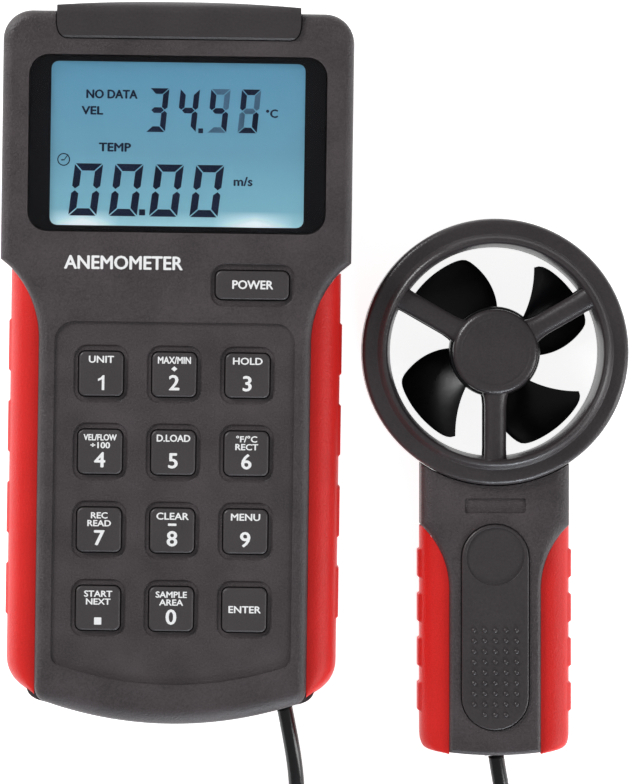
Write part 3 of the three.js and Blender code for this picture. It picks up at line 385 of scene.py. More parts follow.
# ---------------------------------------------------------------- making meshes
def new_object(name, mesh):
    made = bpy.data.objects.new(name, mesh)
    scene.collection.objects.link(made)
    return made


def from_bmesh(name, bm):
    bmesh.ops.recalc_face_normals(bm, faces=bm.faces)
    mesh = bpy.data.meshes.new(name)
    bm.to_mesh(mesh)
    bm.free()
    return new_object(name, mesh)


def loft(name, rings, closed=False):
    """A solid through rings of points; closed joins the last ring to the first."""
    bm = bmesh.new()
    made = [[bm.verts.new(p) for p in ring] for ring in rings]
    pairs = list(zip(made, made[1:])) + ([(made[-1], made[0])] if closed else [])
    for a, b in pairs:
        for i in range(len(a)):
            j = (i + 1) % len(a)
            bm.faces.new((a[i], a[j], b[j], b[i]))
    if not closed:
        bm.faces.new(list(reversed(made[0])))
        bm.faces.new(made[-1])
    return from_bmesh(name, bm)


def stack(name, outline, levels):
    """A solid with the outline drawn in by each level's inset at its height."""
    return loft(name, [[(p.x, p.y, z) for p in inset(outline, d)] for d, z in levels])


def crown(z_low, z_high, r, steps=5):
    """Levels of a straight wall whose top edge is rounded by r."""
    turn = [math.radians(90 * i / steps) for i in range(steps + 1)]
    return [(0, z_low)] + [
        (r * (1 - math.cos(a)), z_high - r * (1 - math.sin(a))) for a in turn]


def turned(name, profile, steps=96):
    """A turned ring whose closed profile of (radius, z) doesn't touch the axis."""
    rings = []
    for i in range(steps):
        a = 2 * math.pi * i / steps
        rings.append([(r * math.cos(a), r * math.sin(a), z) for r, z in profile])
    return loft(name, rings, closed=True)


def disc(name, profile, steps=64, x=0.0, y=0.0):
    """A turned solid whose open profile of (radius, z) runs up its outside."""
    angles = [2 * math.pi * i / steps for i in range(steps)]
    return loft(name, [[(x + r * math.cos(a), y + r * math.sin(a), z) for a in angles]
                       for r, z in profile])


def flatten(obj):
    """Puts the modifiers' result in the mesh."""
    graph = bpy.context.evaluated_depsgraph_get()
    graph.update()
    mesh = bpy.data.meshes.new_from_object(obj.evaluated_get(graph))
    obj.modifiers.clear()
    obj.data = mesh
    return obj


def merged(name, objs):
    """One object in place of the given ones."""
    bm = bmesh.new()
    for o in objs:
        bm.from_mesh(o.data)
        bpy.data.objects.remove(o)
    mesh = bpy.data.meshes.new(name)
    bm.to_mesh(mesh)
    bm.free()
    return new_object(name, mesh)


def carve(obj, tool, operation="DIFFERENCE"):
    """Cuts the tool out of obj, or joins it on, and removes the tool."""
    made = obj.modifiers.new("carve", "BOOLEAN")
    made.operation, made.solver, made.object = operation, "EXACT", tool
    flatten(obj)
    bpy.data.objects.remove(tool)
    return obj


def round_edges(obj, width, segments=2, angle=35):
    made = obj.modifiers.new("round", "BEVEL")
    made.width, made.segments, made.limit_method = width, segments, "ANGLE"
    made.angle_limit = math.radians(angle)
    made.miter_outer = "MITER_ARC"
    return flatten(obj)


def place(obj, body, where, material, replaces=(), sharp=38):
    """Takes the finished mesh from its unit's frame in mm to metres, on its body."""
    obj.data.transform(where)
    obj.data.materials.clear()
    obj.data.materials.append(material)
    obj.data.shade_smooth()
    obj.data.set_sharp_from_angle(angle=math.radians(sharp))
    weights = obj.modifiers.new("weights", "WEIGHTED_NORMAL")
    weights.keep_sharp = True
    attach(obj, body)
    if replaces:
        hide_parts(*replaces)
    return obj


def prism(outline, low, high):
    return stack("prism", outline, [(0, low), (0, high)])


def block(x, y, z):
    corners = ((x[0], y[0]), (x[1], y[0]), (x[1], y[1]), (x[0], y[1]))
    return prism([Vector(corner) for corner in corners], *z)


# ---------------------------------------------------------------- cable
CABLE_R = 2.0
METER_RUN = [(28.57, -86.59, 11), (29.4, -90.5, 10.95), (30.3, -95, 10.5), (31.1, -99.5, 9.6),
             (31.7, -104, 8.3), (32.05, -108.5, 6.8), (32.15, -113, 5.4), (32.05, -117.5, 4.2),
             (31.75, -122, 3.4), (31.45, -126, 3.05)]
SENSOR_RUN = [(82.22, -98.04, 12.15), (82.9, -102, 12.1), (83.65, -106, 11.75), (84.2, -110, 11.1),
              (84.45, -114, 10.2), (84.4, -118, 9.2), (84.05, -122, 8.3), (83.6, -126, 7.6)]
COIL_X, COIL_Y = 57.0, -142.5
LAYS = [(26, 2.95), (22, 2.95), (18, 2.95), (18, 6.9), (22, 6.9), (20, 10.4), (24, 10.4), (26, 6.9)]
TURNS, TURN_STEPS = 7.5, 24
CHANGE_AT, CHANGE_HALF = 0.75, 0.14  # where a turn moves to its next lay, and half of how long, in turns


def coil_points():
    """Each turn moves over to the next lay, (radius, height), on the side towards the object."""
    made, last = [], len(LAYS) - 1
    for step in range(int(TURNS * TURN_STEPS) + 1):
        turn = step / TURN_STEPS
        near = round(turn - CHANGE_AT)
        past = turn - (near + CHANGE_AT)
        if 0 <= near < last and abs(past) < CHANGE_HALF:
            t = (past + CHANGE_HALF) / (2 * CHANGE_HALF)
            t = t * t * (3 - 2 * t)
            a, b = LAYS[near], LAYS[near + 1]
        else:
            t = 0
            a = b = LAYS[min(max(math.ceil(turn - CHANGE_AT - 1e-9), 0), last)]
        r, z = a[0] + (b[0] - a[0]) * t, a[1] + (b[1] - a[1]) * t
        angle = math.pi + 2 * math.pi * turn
        made.append((COIL_X + r * math.cos(angle), COIL_Y + r * math.sin(angle), z))
    return made


def smooth_line(points, parts):
    """A Catmull-Rom curve through the points."""
    line = []
    pts = [Vector(p) for p in points]
    for i in range(len(pts) - 1):
        p0, p1, p2 = pts[max(i - 1, 0)], pts[i], pts[i + 1]
        p3 = pts[min(i + 2, len(pts) - 1)]
        for k in range(parts):
            t = k / parts
            line.append(0.5 * (2 * p1 + (p2 - p0) * t + (2 * p0 - 5 * p1 + 4 * p2 - p3) * t * t
                               + (3 * p1 - p0 - 3 * p2 + p3) * t * t * t))
    return line + [pts[-1]]


def tube(name, line, r, sides):
    """A round tube along the line, which never runs straight up."""
    rings, across = [], Vector((0, 0, 1))
    for i, p in enumerate(line):
        along = (line[min(i + 1, len(line) - 1)] - line[max(i - 1, 0)]).normalized()
        side = along.cross(across).normalized()
        over = side.cross(along).normalized()
        rings.append([p + r * (math.cos(2 * math.pi * k / sides) * side
                               + math.sin(2 * math.pi * k / sides) * over) for k in range(sides)])
    return loft(name, rings)


cable_line = smooth_line(METER_RUN + coil_points() + list(reversed(SENSOR_RUN)), 3)
cable_length = sum((b - a).length for a, b in zip(cable_line, cable_line[1:])) * MM
cable = tube("cable", cable_line, CABLE_R, 16)
cable.data.transform(METER)
cable.data.materials.append(sheath)
cable.data.shade_smooth()
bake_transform(cable)
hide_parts("cord_meter_run", "cord_coil", "cord_sensor_run")
tie = round_edges(new_object("cable_tie", nodes["cord_tie"].data.copy()), 0.0002)
place(tie, "meter", Matrix.Identity(4), strap, ["cord_tie"])
at_meter(*METER_RUN[0])


# ---------------------------------------------------------------- lettering
CAPITAL = 0.7  # height of a capital in the built in font, as a share of its size
KEY_TOP = 36.1
KEY_PRINT_Z = (36.08, 36.11)


def lettering(name, text, height, x, y, z, bold=0.0, squeeze=1.0):
    """Raised print of capitals or figures of that height, centred on x and y. Shifted copies of it, bold
    apart, widen its strokes, each a hair above the last."""
    curve = bpy.data.curves.new(name, "FONT")
    curve.body, curve.align_x, curve.align_y = text, "CENTER", "CENTER"
    curve.size, curve.extrude, curve.resolution_u = height / CAPITAL, 0.012, 3
    holder = new_object(name, curve)
    bpy.context.view_layer.update()
    graph = bpy.context.evaluated_depsgraph_get()
    plain = bpy.data.meshes.new_from_object(holder.evaluated_get(graph))
    bpy.data.objects.remove(holder)
    plain.transform(Matrix.Diagonal((squeeze, 1, 1, 1)))
    layers = []
    shifts = ((-1, 0), (1, 0), (0, 0.7), (0, -0.7)) if bold else ((0, 0),)
    for i, (sx, sy) in enumerate(shifts):
        layer = plain.copy()
        layer.transform(Matrix.Translation((x + sx * bold, y + sy * bold, z + 0.003 * i)))
        layers.append(new_object(name, layer))
    return merged(name, layers)


def figure_one(x, y, h):
    """The figure 1 with its flag, as the keys' other figures are drawn."""
    points = [(0.06, -0.5), (0.23, -0.5), (0.23, 0.5), (0.12, 0.5), (-0.02, 0.34), (-0.2, 0.25), (-0.2, 0.10),
              (0.06, 0.22)]
    return prism([Vector((x + px * h, y + py * h)) for px, py in points], *KEY_PRINT_Z)


# ---------------------------------------------------------------- display unit: front cover
# Each key's node, its figure (None is the point, and "" none) and its words
KEYS = [("1", "1", ["UNIT"]), ("2", "2", ["MAX/MIN"]), ("3", "3", ["HOLD"]),
        ("4", "4", ["VEL/FLOW", "\u00f7100"]), ("5", "5", ["D.LOAD"]),
        ("6", "6", ["\u00b0F/\u00b0C", "RECT"]),
        ("7", "7", ["REC", "READ"]), ("8", "8", ["CLEAR"]), ("9", "9", ["MENU"]),
        ("point", None, ["START", "NEXT"]), ("0", "0", ["SAMPLE", "AREA"]), ("enter", "", ["ENTER"])]
KEY_PLACES = [((column - 1) * KEY_X, y) for y in KEY_Y for column in range(3)]
KEY_SIZE, KEY_CORNER_R = 11.0, 1.5
POWER_SIZE, POWER_CORNER_R = (18.25, 7.1), 1.6
SLOT_GAP = 0.3
COVER_SEAM, CORE_TOP, WALL = 17.3, 31.0, 2.0
EDGE_REACH, EDGE_DROP = 2.6, 2.2  # rounded edge round the face
FOOT_EDGE_REACH, FOOT_EDGE_DROP = 4.3, 3.5
ABOVE = 40  # top of a cutting shape that opens the face


def front_shell():
    """The cover's block: its top edge is rounded, and more fully along the foot."""
    outline = case_outline(PLATEAU_HALF)
    inward = [q - p for p, q in zip(outline, inset(outline, 1))]
    rings = [[(p.x, p.y, COVER_SEAM) for p in outline]]
    for i in range(9):
        turn = math.radians(90 * i / 8)
        ring = []
        for p, way in zip(outline, inward):
            foot = min(1, max(0, (FOOT_Y + 8 - p.y) / 5))
            reach = EDGE_REACH + (FOOT_EDGE_REACH - EDGE_REACH) * foot
            drop = EDGE_DROP + (FOOT_EDGE_DROP - EDGE_DROP) * foot
            q = p + way * (reach * (1 - math.cos(turn)))
            ring.append((q.x, q.y, FACE - drop * (1 - math.sin(turn))))
        rings.append(ring)
    return loft("front_shell", rings)


def front_cover():
    shell = front_shell()
    carve(shell, prism(case_outline(CORE_HALF), COVER_SEAM, CORE_TOP), "UNION")
    carve(shell, prism(inset(case_outline(PLATEAU_HALF), WALL), 10, CORE_TOP))
    carve(shell, block((-24.5, 29.5), (-71, 24), (30, 33)))  # room for the key mat
    carve(shell, prism(pad_outline(), FACE - 0.6, ABOVE))
    # Key recesses, each with a short slope round its floor
    dishes = [stack("dish", rounded_rect(14, 14.7, 3.5, x, y), [(0.45, 35.0), (0.1, 35.3), (-0.1, ABOVE)])
              for x, y in KEY_PLACES]
    dishes.append(stack("dish", rounded_rect(21.2, 11, 3.5, POWER_X, POWER_Y),
                        [(0.45, 35.3), (0.1, 35.7), (-0.1, ABOVE)]))
    carve(shell, merged("dishes", dishes))
    key_slot = KEY_SIZE + 2 * SLOT_GAP
    slots = [prism(rounded_rect(key_slot, key_slot, KEY_CORNER_R + SLOT_GAP, x, y), 30, ABOVE)
             for x, y in KEY_PLACES]
    slots.append(prism(rounded_rect(POWER_SIZE[0] + 2 * SLOT_GAP, POWER_SIZE[1] + 2 * SLOT_GAP,
                                    POWER_CORNER_R + SLOT_GAP, POWER_X, POWER_Y), 30, ABOVE))
    carve(shell, merged("slots", slots))
    carve(shell, prism(rounded_rect(74.2, 44.1, 5, 0, SCREEN_Y), 33.3, ABOVE))  # window's seat
    carve(shell, prism(rounded_rect(66, 41.6, 1, 0, SCREEN_Y), 20, ABOVE))  # opening over the panel
    carve(shell, prism(inset(port_outline(), -0.3), 35, ABOVE))
    carve(shell, block((-5, 5), (83.3, 90), (25.3, 30.3)))  # mouth of the socket
    round_edges(shell, 0.28)
    return place(shell, "meter", METER, charcoal, ["front_cover"])


front_cover()


# ---------------------------------------------------------------- display unit: keys
FLANGE = 0.7  # how far a key's foot reaches out under the cover


def add_key(node, outline, prints):
    xs, ys = [p.x for p in outline], [p.y for p in outline]
    cap = stack("cap", outline, crown(32.2, KEY_TOP, 0.55, 4))
    foot = block((min(xs) - FLANGE, max(xs) + FLANGE), (min(ys) - FLANGE, max(ys) + FLANGE), (31.7, 32.7))
    place(merged(f"{node}_cap", [cap, foot]), node, METER, key_plastic, [node])
    place(merged(f"{node}_print", prints), node, METER, print_white)


def key_prints(name, figure, words, x, y):
    """The words over the figure, and the small signs on keys 2 and 8."""
    tall = 1.5 if len(words) == 2 else 1.7
    top = y if figure == "" else y + 3.5
    prints = []
    for i, word in enumerate(words):
        squeeze = min(1.12, 8.9 / (len(word) * tall * 0.92))
        prints.append(lettering("word", word, tall, x, top - i * 1.95, KEY_TOP, 0.07, squeeze))
    if figure is None:
        prints.append(prism(rounded_rect(1.8, 1.8, 0.1, x, y - 3.2, 2), *KEY_PRINT_Z))
    elif figure == "1":
        prints.append(figure_one(x, y - 2.2, 3.7))
    elif figure:
        prints.append(lettering("figure", figure, 3.7, x, y - 2.2, KEY_TOP, 0.13, 1.05))
    if name == "2":
        diamond = ((0, 0.8), (0.75, 1.45), (0, 2.1), (-0.75, 1.45))
        prints.append(prism([Vector((x + dx, y + dy)) for dx, dy in diamond], *KEY_PRINT_Z))
    if name == "8":
        prints.append(prism(rounded_rect(2.1, 0.6, 0.1, x, y + 1.5, 2), *KEY_PRINT_Z))
    return prints


for (name, figure, words), (x, y) in zip(KEYS, KEY_PLACES):
    add_key(f"key_{name}", rounded_rect(KEY_SIZE, KEY_SIZE, KEY_CORNER_R, x, y),
            key_prints(name, figure, words, x, y))
add_key("key_power", rounded_rect(*POWER_SIZE, POWER_CORNER_R, POWER_X, POWER_Y),
        [lettering("word", "POWER", 2.1, POWER_X, POWER_Y, KEY_TOP, 0.09, 0.98)])


# ---------------------------------------------------------------- display unit: screen
def segment_outline(kind, w, h, t):
    """One bar of a seven bar figure, w wide and h tall, in bars t thick."""
    g, half = t * 0.12, h / 2  # g is half the gap between two bars
    if kind in "ad":
        s = 1 if kind == "a" else -1
        pts = [(g, s * half), (w - g, s * half), (w - t - g, s * (half - t)), (t + g, s * (half - t))]
    elif kind == "g":
        pts = [(t * 0.6, 0), (t * 1.1, t / 2), (w - t * 1.1, t / 2), (w - t * 0.6, 0),
               (w - t * 1.1, -t / 2), (t * 1.1, -t / 2)]
    else:
        s = 1 if kind in "bf" else -1
        side = w if kind in "bc" else 0
        into = -1 if kind in "bc" else 1
        pts = [(side, s * (half - g)), (side + into * t, s * (half - t - g)),
               (side + into * t, s * t * 0.55), (side + into * t * 0.45, s * g), (side, s * t * 0.5)]
    area = sum(a[0] * b[1] - b[0] * a[1] for a, b in zip(pts, pts[1:] + pts[:1]))
    return pts if area > 0 else list(reversed(pts))


BARS = {"0": "abcdef", "3": "abcdg", "4": "bcfg", "5": "acdfg"}
INK_Z = (33.31, 33.36)


def figure_bars(text, x, y, w, h, t, pitch, lean, faint=()):
    """Dark and faint bars of a row of figures, leaning to the right; faint holds (figure, bar) pairs."""
    dark, pale = [], []
    for i, c in enumerate(text):
        shown = set(BARS[c]) | {kind for figure, kind in faint if figure == i}
        for kind in sorted(shown):
            pts = [Vector((x + i * pitch + px + lean * (py + h / 2), y + py))
                   for px, py in segment_outline(kind, w, h, t)]
            (pale if (i, kind) in faint else dark).append(prism(pts, *INK_Z))
    return dark, pale


FAINT_BARS = {(2, "a"), (2, "d"), (2, "b"), (3, "b"), (3, "e"), (3, "g")}
upper, upper_faint = figure_bars("3450", -8.0, 62.9, 4.8, 10.9, 1.4, 7.62, 0.092, FAINT_BARS)
lower = figure_bars("0000", -27.0, 42.9, 7.0, 13.0, 1.8, 10.05, 0.12)[0]
for row, (x, y, size) in ((upper, (5.7, 57.9, 1.2)), (lower, (-8.6, 37.4, 1.5))):
    row.append(prism(rounded_rect(size, size, 0.1, x, y, 2), *INK_Z))
# Each word's text, height, place, boldness and squeeze
SCREEN_WORDS = [("NO DATA", 2.1, -16.6, 66.6, 0.12, 0.93), ("VEL", 2.0, -21.3, 62.5, 0.12, 1.15),
                ("TEMP", 2.1, -15.6, 53.4, 0.12, 1.1), ("C", 2.0, 23.9, 62.3, 0.12, 1.0),
                ("m/s", 2.2, 16.4, 45.3, 0.1, 1.08)]
screen_words = [lettering("word", text, tall, x, y, sum(INK_Z) / 2, bold, squeeze)
                for text, tall, x, y, bold, squeeze in SCREEN_WORDS]
degree_sign = prism(arc(22.3, 63.0, 0.4, 0, 340, 12), *INK_Z)
place(merged("lcd_figures", upper + lower + screen_words + [degree_sign]), "meter", METER, ink)
place(merged("lcd_figures_faint", upper_faint), "meter", METER, ink_faint)


def clock_sign(x, y, r):
    """A dial with a short and a long hand."""
    low, high = INK_Z
    rim = turned("rim", [(r - 0.28, low), (r, low), (r, high), (r - 0.28, high)], 32)
    rim.data.transform(Matrix.Translation((x, y, 0)))
    hands = [prism([Vector((x + dx, y + dy)) for dx, dy in hand], low, high) for hand in (
        ((-0.7, 0), (-0.5, -0.35), (0, -0.2), (0, 0.1)),
        ((-0.1, -0.2), (0.1, -0.3), (1.2, 1.2), (1.0, 1.3)))]
    return merged("clock_sign", [rim, *hands])


place(clock_sign(-28.3, 50.3, 1.6), "meter", METER, ink)
window = stack("window_pane", rounded_rect(73.6, 43.5, 4.7, 0, SCREEN_Y, 8), crown(34.4, 35.5, 0.25, 3))
place(window, "meter", METER, window_clear, ["display_window"])


# ---------------------------------------------------------------- grips
# inner: the edge against the case. over, under: curves (x, z) of the lip and of the edge below the flank.
# dip: the flank's reach between its pads, which stand proud of it at the heights in pads, each pad_reach
# up and down. waist: the round end by the head. foot: curve (x, y) of the lower end. top: the upper end.
METER_GRIP = {
    "inner": 33.92, "dip": 41.25, "proud": 0.45, "over": [(33.92, 33), (39, 33), (41.7, 29), (41.7, 24)],
    "under": [(41.7, 12), (41.7, 7), (39, 3), (33.92, 3)], "pads": [4, -16.3, -36.6, -56.9],
    "pad_reach": 6.6, "waist": (WAIST_X, WAIST_Y, WAIST_R - 0.07), "top": 22.9,
    "foot": [(41.25, -73.8), (41.25, -79), (37.5, -81.6), (33.92, -83)],
}
SENSOR_GRIP = {
    "inner": 11.52, "dip": 18.8, "proud": 0.6, "over": [(11.52, 22.4), (17, 22.4), (19.4, 19.5), (19.4, 16)],
    "under": [(19.4, 8), (19.4, 4.5), (17, 1.6), (11.52, 1.6)], "pads": [-53.2, -64.4, -75.6, -86.8],
    "pad_reach": 3.8, "waist": (HOLLOW_X, HOLLOW_Y, HOLLOW_R - 0.07), "top": -43.8,
    "foot": [(18.8, -95.5), (18.8, -100.2), (17.4, -100.2), (11.52, -101.1)],
}


def along_curve(curve, scale, inner, x):
    """Height of a lip's curve at x, with its reach out from the inner edge scaled."""
    pairs = [(inner + (p.x - inner) * scale, p.y) for p in curve]
    for (ax, az), (bx, bz) in zip(pairs, pairs[1:]):
        if min(ax, bx) - 1e-9 <= x <= max(ax, bx) + 1e-9:
            return az + (bz - az) * (x - ax) / (bx - ax) if abs(bx - ax) > 1e-9 else bz
    near_start = abs(x - pairs[0][0]) < abs(x - pairs[-1][0])
    return pairs[0][1] if near_start else pairs[-1][1]


def grip(name, side, g):
    """A lip climbs from the case's shoulder over a round flank; shallow finger pads stand out of it."""
    inner, over, under = g["inner"], bezier(g["over"], 20), bezier(g["under"], 14)
    foot = bezier(g["foot"], 30)
    half = g["over"][-1][0]
    waist_x, waist_y, waist_r = g["waist"]
    pad_low, pad_high = under[0].y - 1.5, over[-1].y + 2.5

    def reach(y):
        """How far out the flank is at y."""
        for a, b in zip(foot, foot[1:]):
            if b.y <= y <= a.y:
                return a.x + (b.x - a.x) * (a.y - y) / max(a.y - b.y, 1e-6)
        return g["dip"] if y > foot[0].y else inner

    def raised(y):
        """1 on a pad, 0 between pads."""
        return max(min(1, max(0, (g["pad_reach"] - abs(y - m)) / 0.5)) for m in g["pads"])

    y_low = foot[-1].y + 0.08
    stations = {round(y_low + (g["top"] - y_low) * i / 140, 3) for i in range(141)}
    stations |= {round(middle + way * (g["pad_reach"] - d), 3)
                 for middle in g["pads"] for way in (-1, 1) for d in (-0.1, 0, 0.5)}
    stations |= {round(y_low + 0.12 * i * i / 4, 3) for i in range(12)}
    rings = []
    for y in sorted(stations):
        low_x = inner if y <= waist_y else waist_x - math.sqrt(waist_r ** 2 - (y - waist_y) ** 2)
        high_x = reach(y)
        if high_x - low_x < 0.2:
            continue
        scale = (high_x - inner) / (half - inner)
        across = [low_x + (high_x - low_x) * math.sin(math.pi / 2 * k / 18) for k in range(19)]
        section = [(x, along_curve(over, scale, inner, x)) for x in across]
        top, bottom = section[-1][1], along_curve(under, scale, inner, high_x)
        section += [(high_x, top + (bottom - top) * k / 8) for k in range(1, 8)]
        section += [(x, along_curve(under, scale, inner, x)) for x in reversed(across)]
        ring = []
        for x, z in section:
            out = min(1, max(0, (x - high_x + 1.6) / 1.2))
            tall = min(1, max(0, (pad_high - z) / 0.8), max(0, (z - pad_low) / 0.8))
            ring.append((side * (x + g["proud"] * raised(y) * out * max(tall, 0)), y, z))
        rings.append(ring)
    return loft(name, rings)


for side, word in ((-1, "left"), (1, "right")):
    place(grip(f"grip_{word}_rubber", side, METER_GRIP), "meter", METER, red_grip,
          [f"grip_{word}"], sharp=50)
    place(grip(f"sensor_grip_{word}_rubber", side, SENSOR_GRIP), "sensor", SENSOR, red_grip,
          [f"sensor_grip_{word}"], sharp=50)


# ---------------------------------------------------------------- vane head
HEAD_Z, SEAM = 28.0, 14.3
SPOKE_ANGLES = (30, 150, 270)


def ring_profile(z_low, top):
    """The ring's section: up its outside, over the face and the lip, and down the bore."""
    outside = [(33.4, z_low), (33.4, top - 3.8)]
    outside += [(32 + 1.4 * math.cos(a), top - 3.4 + 1.5 * math.sin(a))
                for a in (math.radians(d) for d in (15, 35, 55, 75, 90))]
    face = [(31.0, top - 1.85), (30.2, top - 1.8), (29.6, top - 1.72)]
    lip = [(29.2, top - 1.3), (28.8, top - 0.6), (28.35, top - 0.12), (27.9, top), (27.5, top - 0.15),
           (27.2, top - 0.6), (27.0, top - 1.4)]
    bore = [(26.7, top - 4), (26.4, top - 7), (26.4, z_low)]
    return outside + face + lip + bore


def spoke_solid(name, angle, low, high, crown_up, start=9.8, end=28.0, w=5.4):
    """A spoke with a rounded top, or bottom, that flares a little at both ends."""
    rings, steps, dome = [], 10, w / 2 * 0.85
    for i in range(steps + 1):
        t = i / steps
        x = start + (end - start) * t
        flare = 1 + 0.25 * max(0, 1 - (x - start) / 2.5) + 0.12 * max(0, (x - (end - 2.5)) / 2.5)
        half = w / 2 * flare
        ring = []
        for k in range(13):
            a = math.pi * k / 12
            ring.append((x, half * math.cos(a), high - dome + dome * math.sin(a)))
        ring += [(x, -half, low + 0.4), (x, -half + 0.4, low), (x, half - 0.4, low), (x, half, low + 0.4)]
        if not crown_up:
            ring = [(px, -py, low + high - pz) for px, py, pz in ring]
        rings.append(ring)
    made = loft(name, rings)
    made.data.transform(Matrix.Rotation(math.radians(angle), 4, "Z"))
    return made


front_ring = turned("head_front_ring", ring_profile(SEAM, HEAD_Z), 128)
place(front_ring, "sensor", SENSOR, head_plastic, ["head_front"], sharp=32)
rear_profile = [(33.4, 14), (33.4, 1.8), (33.1, 1.0), (32.5, 0.3), (31.8, 0), (28.4, 0), (27.7, 0.25),
                (27.2, 0.9), (26.9, 3), (26.55, 6), (26.4, 7), (26.4, 14)]
rear_ring = turned("head_rear_ring", rear_profile, 128)
place(rear_ring, "sensor", SENSOR, head_plastic, ["head_rear"], sharp=32)
for i, angle in enumerate(SPOKE_ANGLES, 1):
    for word, low, high in (("front", 22.3, 26.6), ("rear", 1.4, 5.7)):
        spoke = spoke_solid(f"head_{word}_spoke_{i}", angle, low, high, word == "front")
        place(spoke, "sensor", SENSOR, head_plastic)
hub_front = disc("head_front_hub", [
    (9.9, 21.6), (10.7, 22.0), (10.7, 25.9), (10.6, 26.4), (10.3, 26.95), (9.8, 27.3), (9.2, 27.4),
    (8.6, 27.3), (8.3, 27.1), (6.0, 27.12), (3.0, 27.15), (0.4, 27.16)], 96)
place(carve(hub_front, disc("bore", [(3.3, 15), (3.3, 24.7)], 32)), "sensor", SENSOR, head_plastic)
hub_rear = disc("head_rear_hub", [
    (0.4, 0.8), (8.2, 0.85), (8.6, 0.65), (9.3, 0.6), (10.0, 0.8), (10.5, 1.2), (10.7, 1.8), (10.7, 8.0),
    (10.3, 8.3)], 96)
carve(hub_rear, disc("bore", [(3.3, 5.2), (3.3, 12)], 32))
carve(hub_rear, block((4.9, 9.1), (-2.1, 2.1), (5.8, 12)))
place(hub_rear, "sensor", SENSOR, head_plastic)
neck = round_edges(block((-9, 9), (-42, -32.2), (4.6, 13.7)), 0.4)
neck.name = "head_rear_neck"
place(neck, "sensor", SENSOR, head_plastic)


# ---------------------------------------------------------------- rotor
DRUM_R, TIP_R, ROTOR_Z = 10.6, 24.8, 14.9


def blade(name, middle):
    """A pitched blade; its leading edge is convex and its trailing edge nearly straight."""
    across, along, thick = 22, 16, 0.9
    sides = []
    for side in (1, -1):
        grid = []
        for i in range(across + 1):
            s = i / across
            row = []
            for j in range(along + 1):
                t = j / along
                tip = TIP_R - 1.4 * abs(2 * s - 1) ** 9
                r = DRUM_R + (tip - DRUM_R) * t
                lead, trail = -44.5 + 19.5 * t ** 1.35, 10.5 + 15 * t
                a = math.radians(middle + lead + (trail - lead) * s)
                rise = 6.5 + 2.1 * t
                half_thick = thick / 2 * (1 - 0.75 * abs(2 * s - 1) ** 8)
                row.append((r * math.cos(a), r * math.sin(a), ROTOR_Z + (s - 0.5) * rise + side * half_thick))
            grid.append(row)
        sides.append(grid)
    bm = bmesh.new()
    made = [[[bm.verts.new(p) for p in row] for row in grid] for grid in sides]
    for grid in made:
        for i in range(across):
            for j in range(along):
                bm.faces.new((grid[i][j], grid[i][j + 1], grid[i + 1][j + 1], grid[i + 1][j]))
    top, low = made
    for i in range(across):
        for j in (0, along):
            bm.faces.new((top[i][j], top[i + 1][j], low[i + 1][j], low[i][j]))
    for j in range(along):
        for i in (0, across):
            bm.faces.new((top[i][j], top[i][j + 1], low[i][j + 1], low[i][j]))
    return from_bmesh(name, bm)


for k in range(4):
    one = round_edges(blade(f"rotor_blade_{k + 1}", 39.5 + 90 * k), 0.2, 2, 50)
    place(one, "rotor", SENSOR, rotor_plastic, sharp=45)
drum = disc("rotor_drum", [(10.6, 9.2), (11.2, 9.4), (11.4, 10.0), (11.4, 19.9), (11.2, 20.4),
                           (10.8, 20.6)], 96)
carve(drum, disc("bore", [(1.3, 5), (1.3, 25)], 24))
carve(drum, disc("magnet_pocket", [(1.9, 5), (1.9, 11.8)], 24, 7, 0))
place(drum, "rotor", SENSOR, rotor_plastic, ["rotor"])


# ---------------------------------------------------------------- sensor handle
def capsule(half, top, foot, steps=14):
    return distinct(arc(0, foot + half, half, 180, 360, steps) + arc(0, top - half, half, 0, 180, steps))


def shouldered(name, outline, z_low, z_high):
    """The top edge's radius grows from the narrow grip up to the broad shoulders under the ring."""
    rings = [[(p.x, p.y, z_low) for p in outline]]
    drawn = inset(outline, 1)
    for i in range(9):
        a = math.radians(90 * i / 8)
        ring = []
        for p, q in zip(outline, drawn):
            share = min(1, max(0, (abs(p.x) - PLATEAU_GRIP_HALF - 0.15) / 6))
            reach, drop = 1.2 + 3.0 * share, 1.2 + 1.0 * share
            m = p + (q - p) * reach * (1 - math.cos(a))
            ring.append((m.x, m.y, z_high - drop * (1 - math.sin(a))))
        rings.append(ring)
    return loft(name, rings)


def handle_front():
    shell = shouldered("handle_front_shell", handle_outline(PLATEAU_GRIP_HALF), 12.3, 24)
    carve(shell, prism(handle_outline(CORE_GRIP_HALF), 12.3, 20.5), "UNION")
    carve(shell, prism(inset(handle_outline(PLATEAU_GRIP_HALF), WALL), 5, 22.4))
    carve(shell, disc("ring_clearance", [(33.7, -2), (33.7, 40)], 128))
    carve(shell, block((-9.3, 9.3), (-42.3, HANDLE_TOP_Y), (4, 14)))  # room for the head's neck
    carve(shell, prism(rounded_rect(15.3, 3.75, 0.6, 0, -38.6), 23.5, 30))  # label recess
    carve(shell, prism(capsule(THUMB_HALF + 0.3, THUMB_TOP + 0.3, THUMB_FOOT - 0.3), 23.3, 30))
    bore = disc("cable_exit", [(3.3, -4), (3.3, 12)], 32)
    bore.data.transform(Matrix.Translation((0.5, -101.1, 12.15)) @ Matrix.Rotation(math.radians(9.5), 4, "Z")
                        @ Matrix.Rotation(math.radians(-90), 4, "X"))
    carve(shell, bore)
    round_edges(shell, 0.22)
    return place(shell, "sensor", SENSOR, charcoal, ["handle_front"])


handle_front()


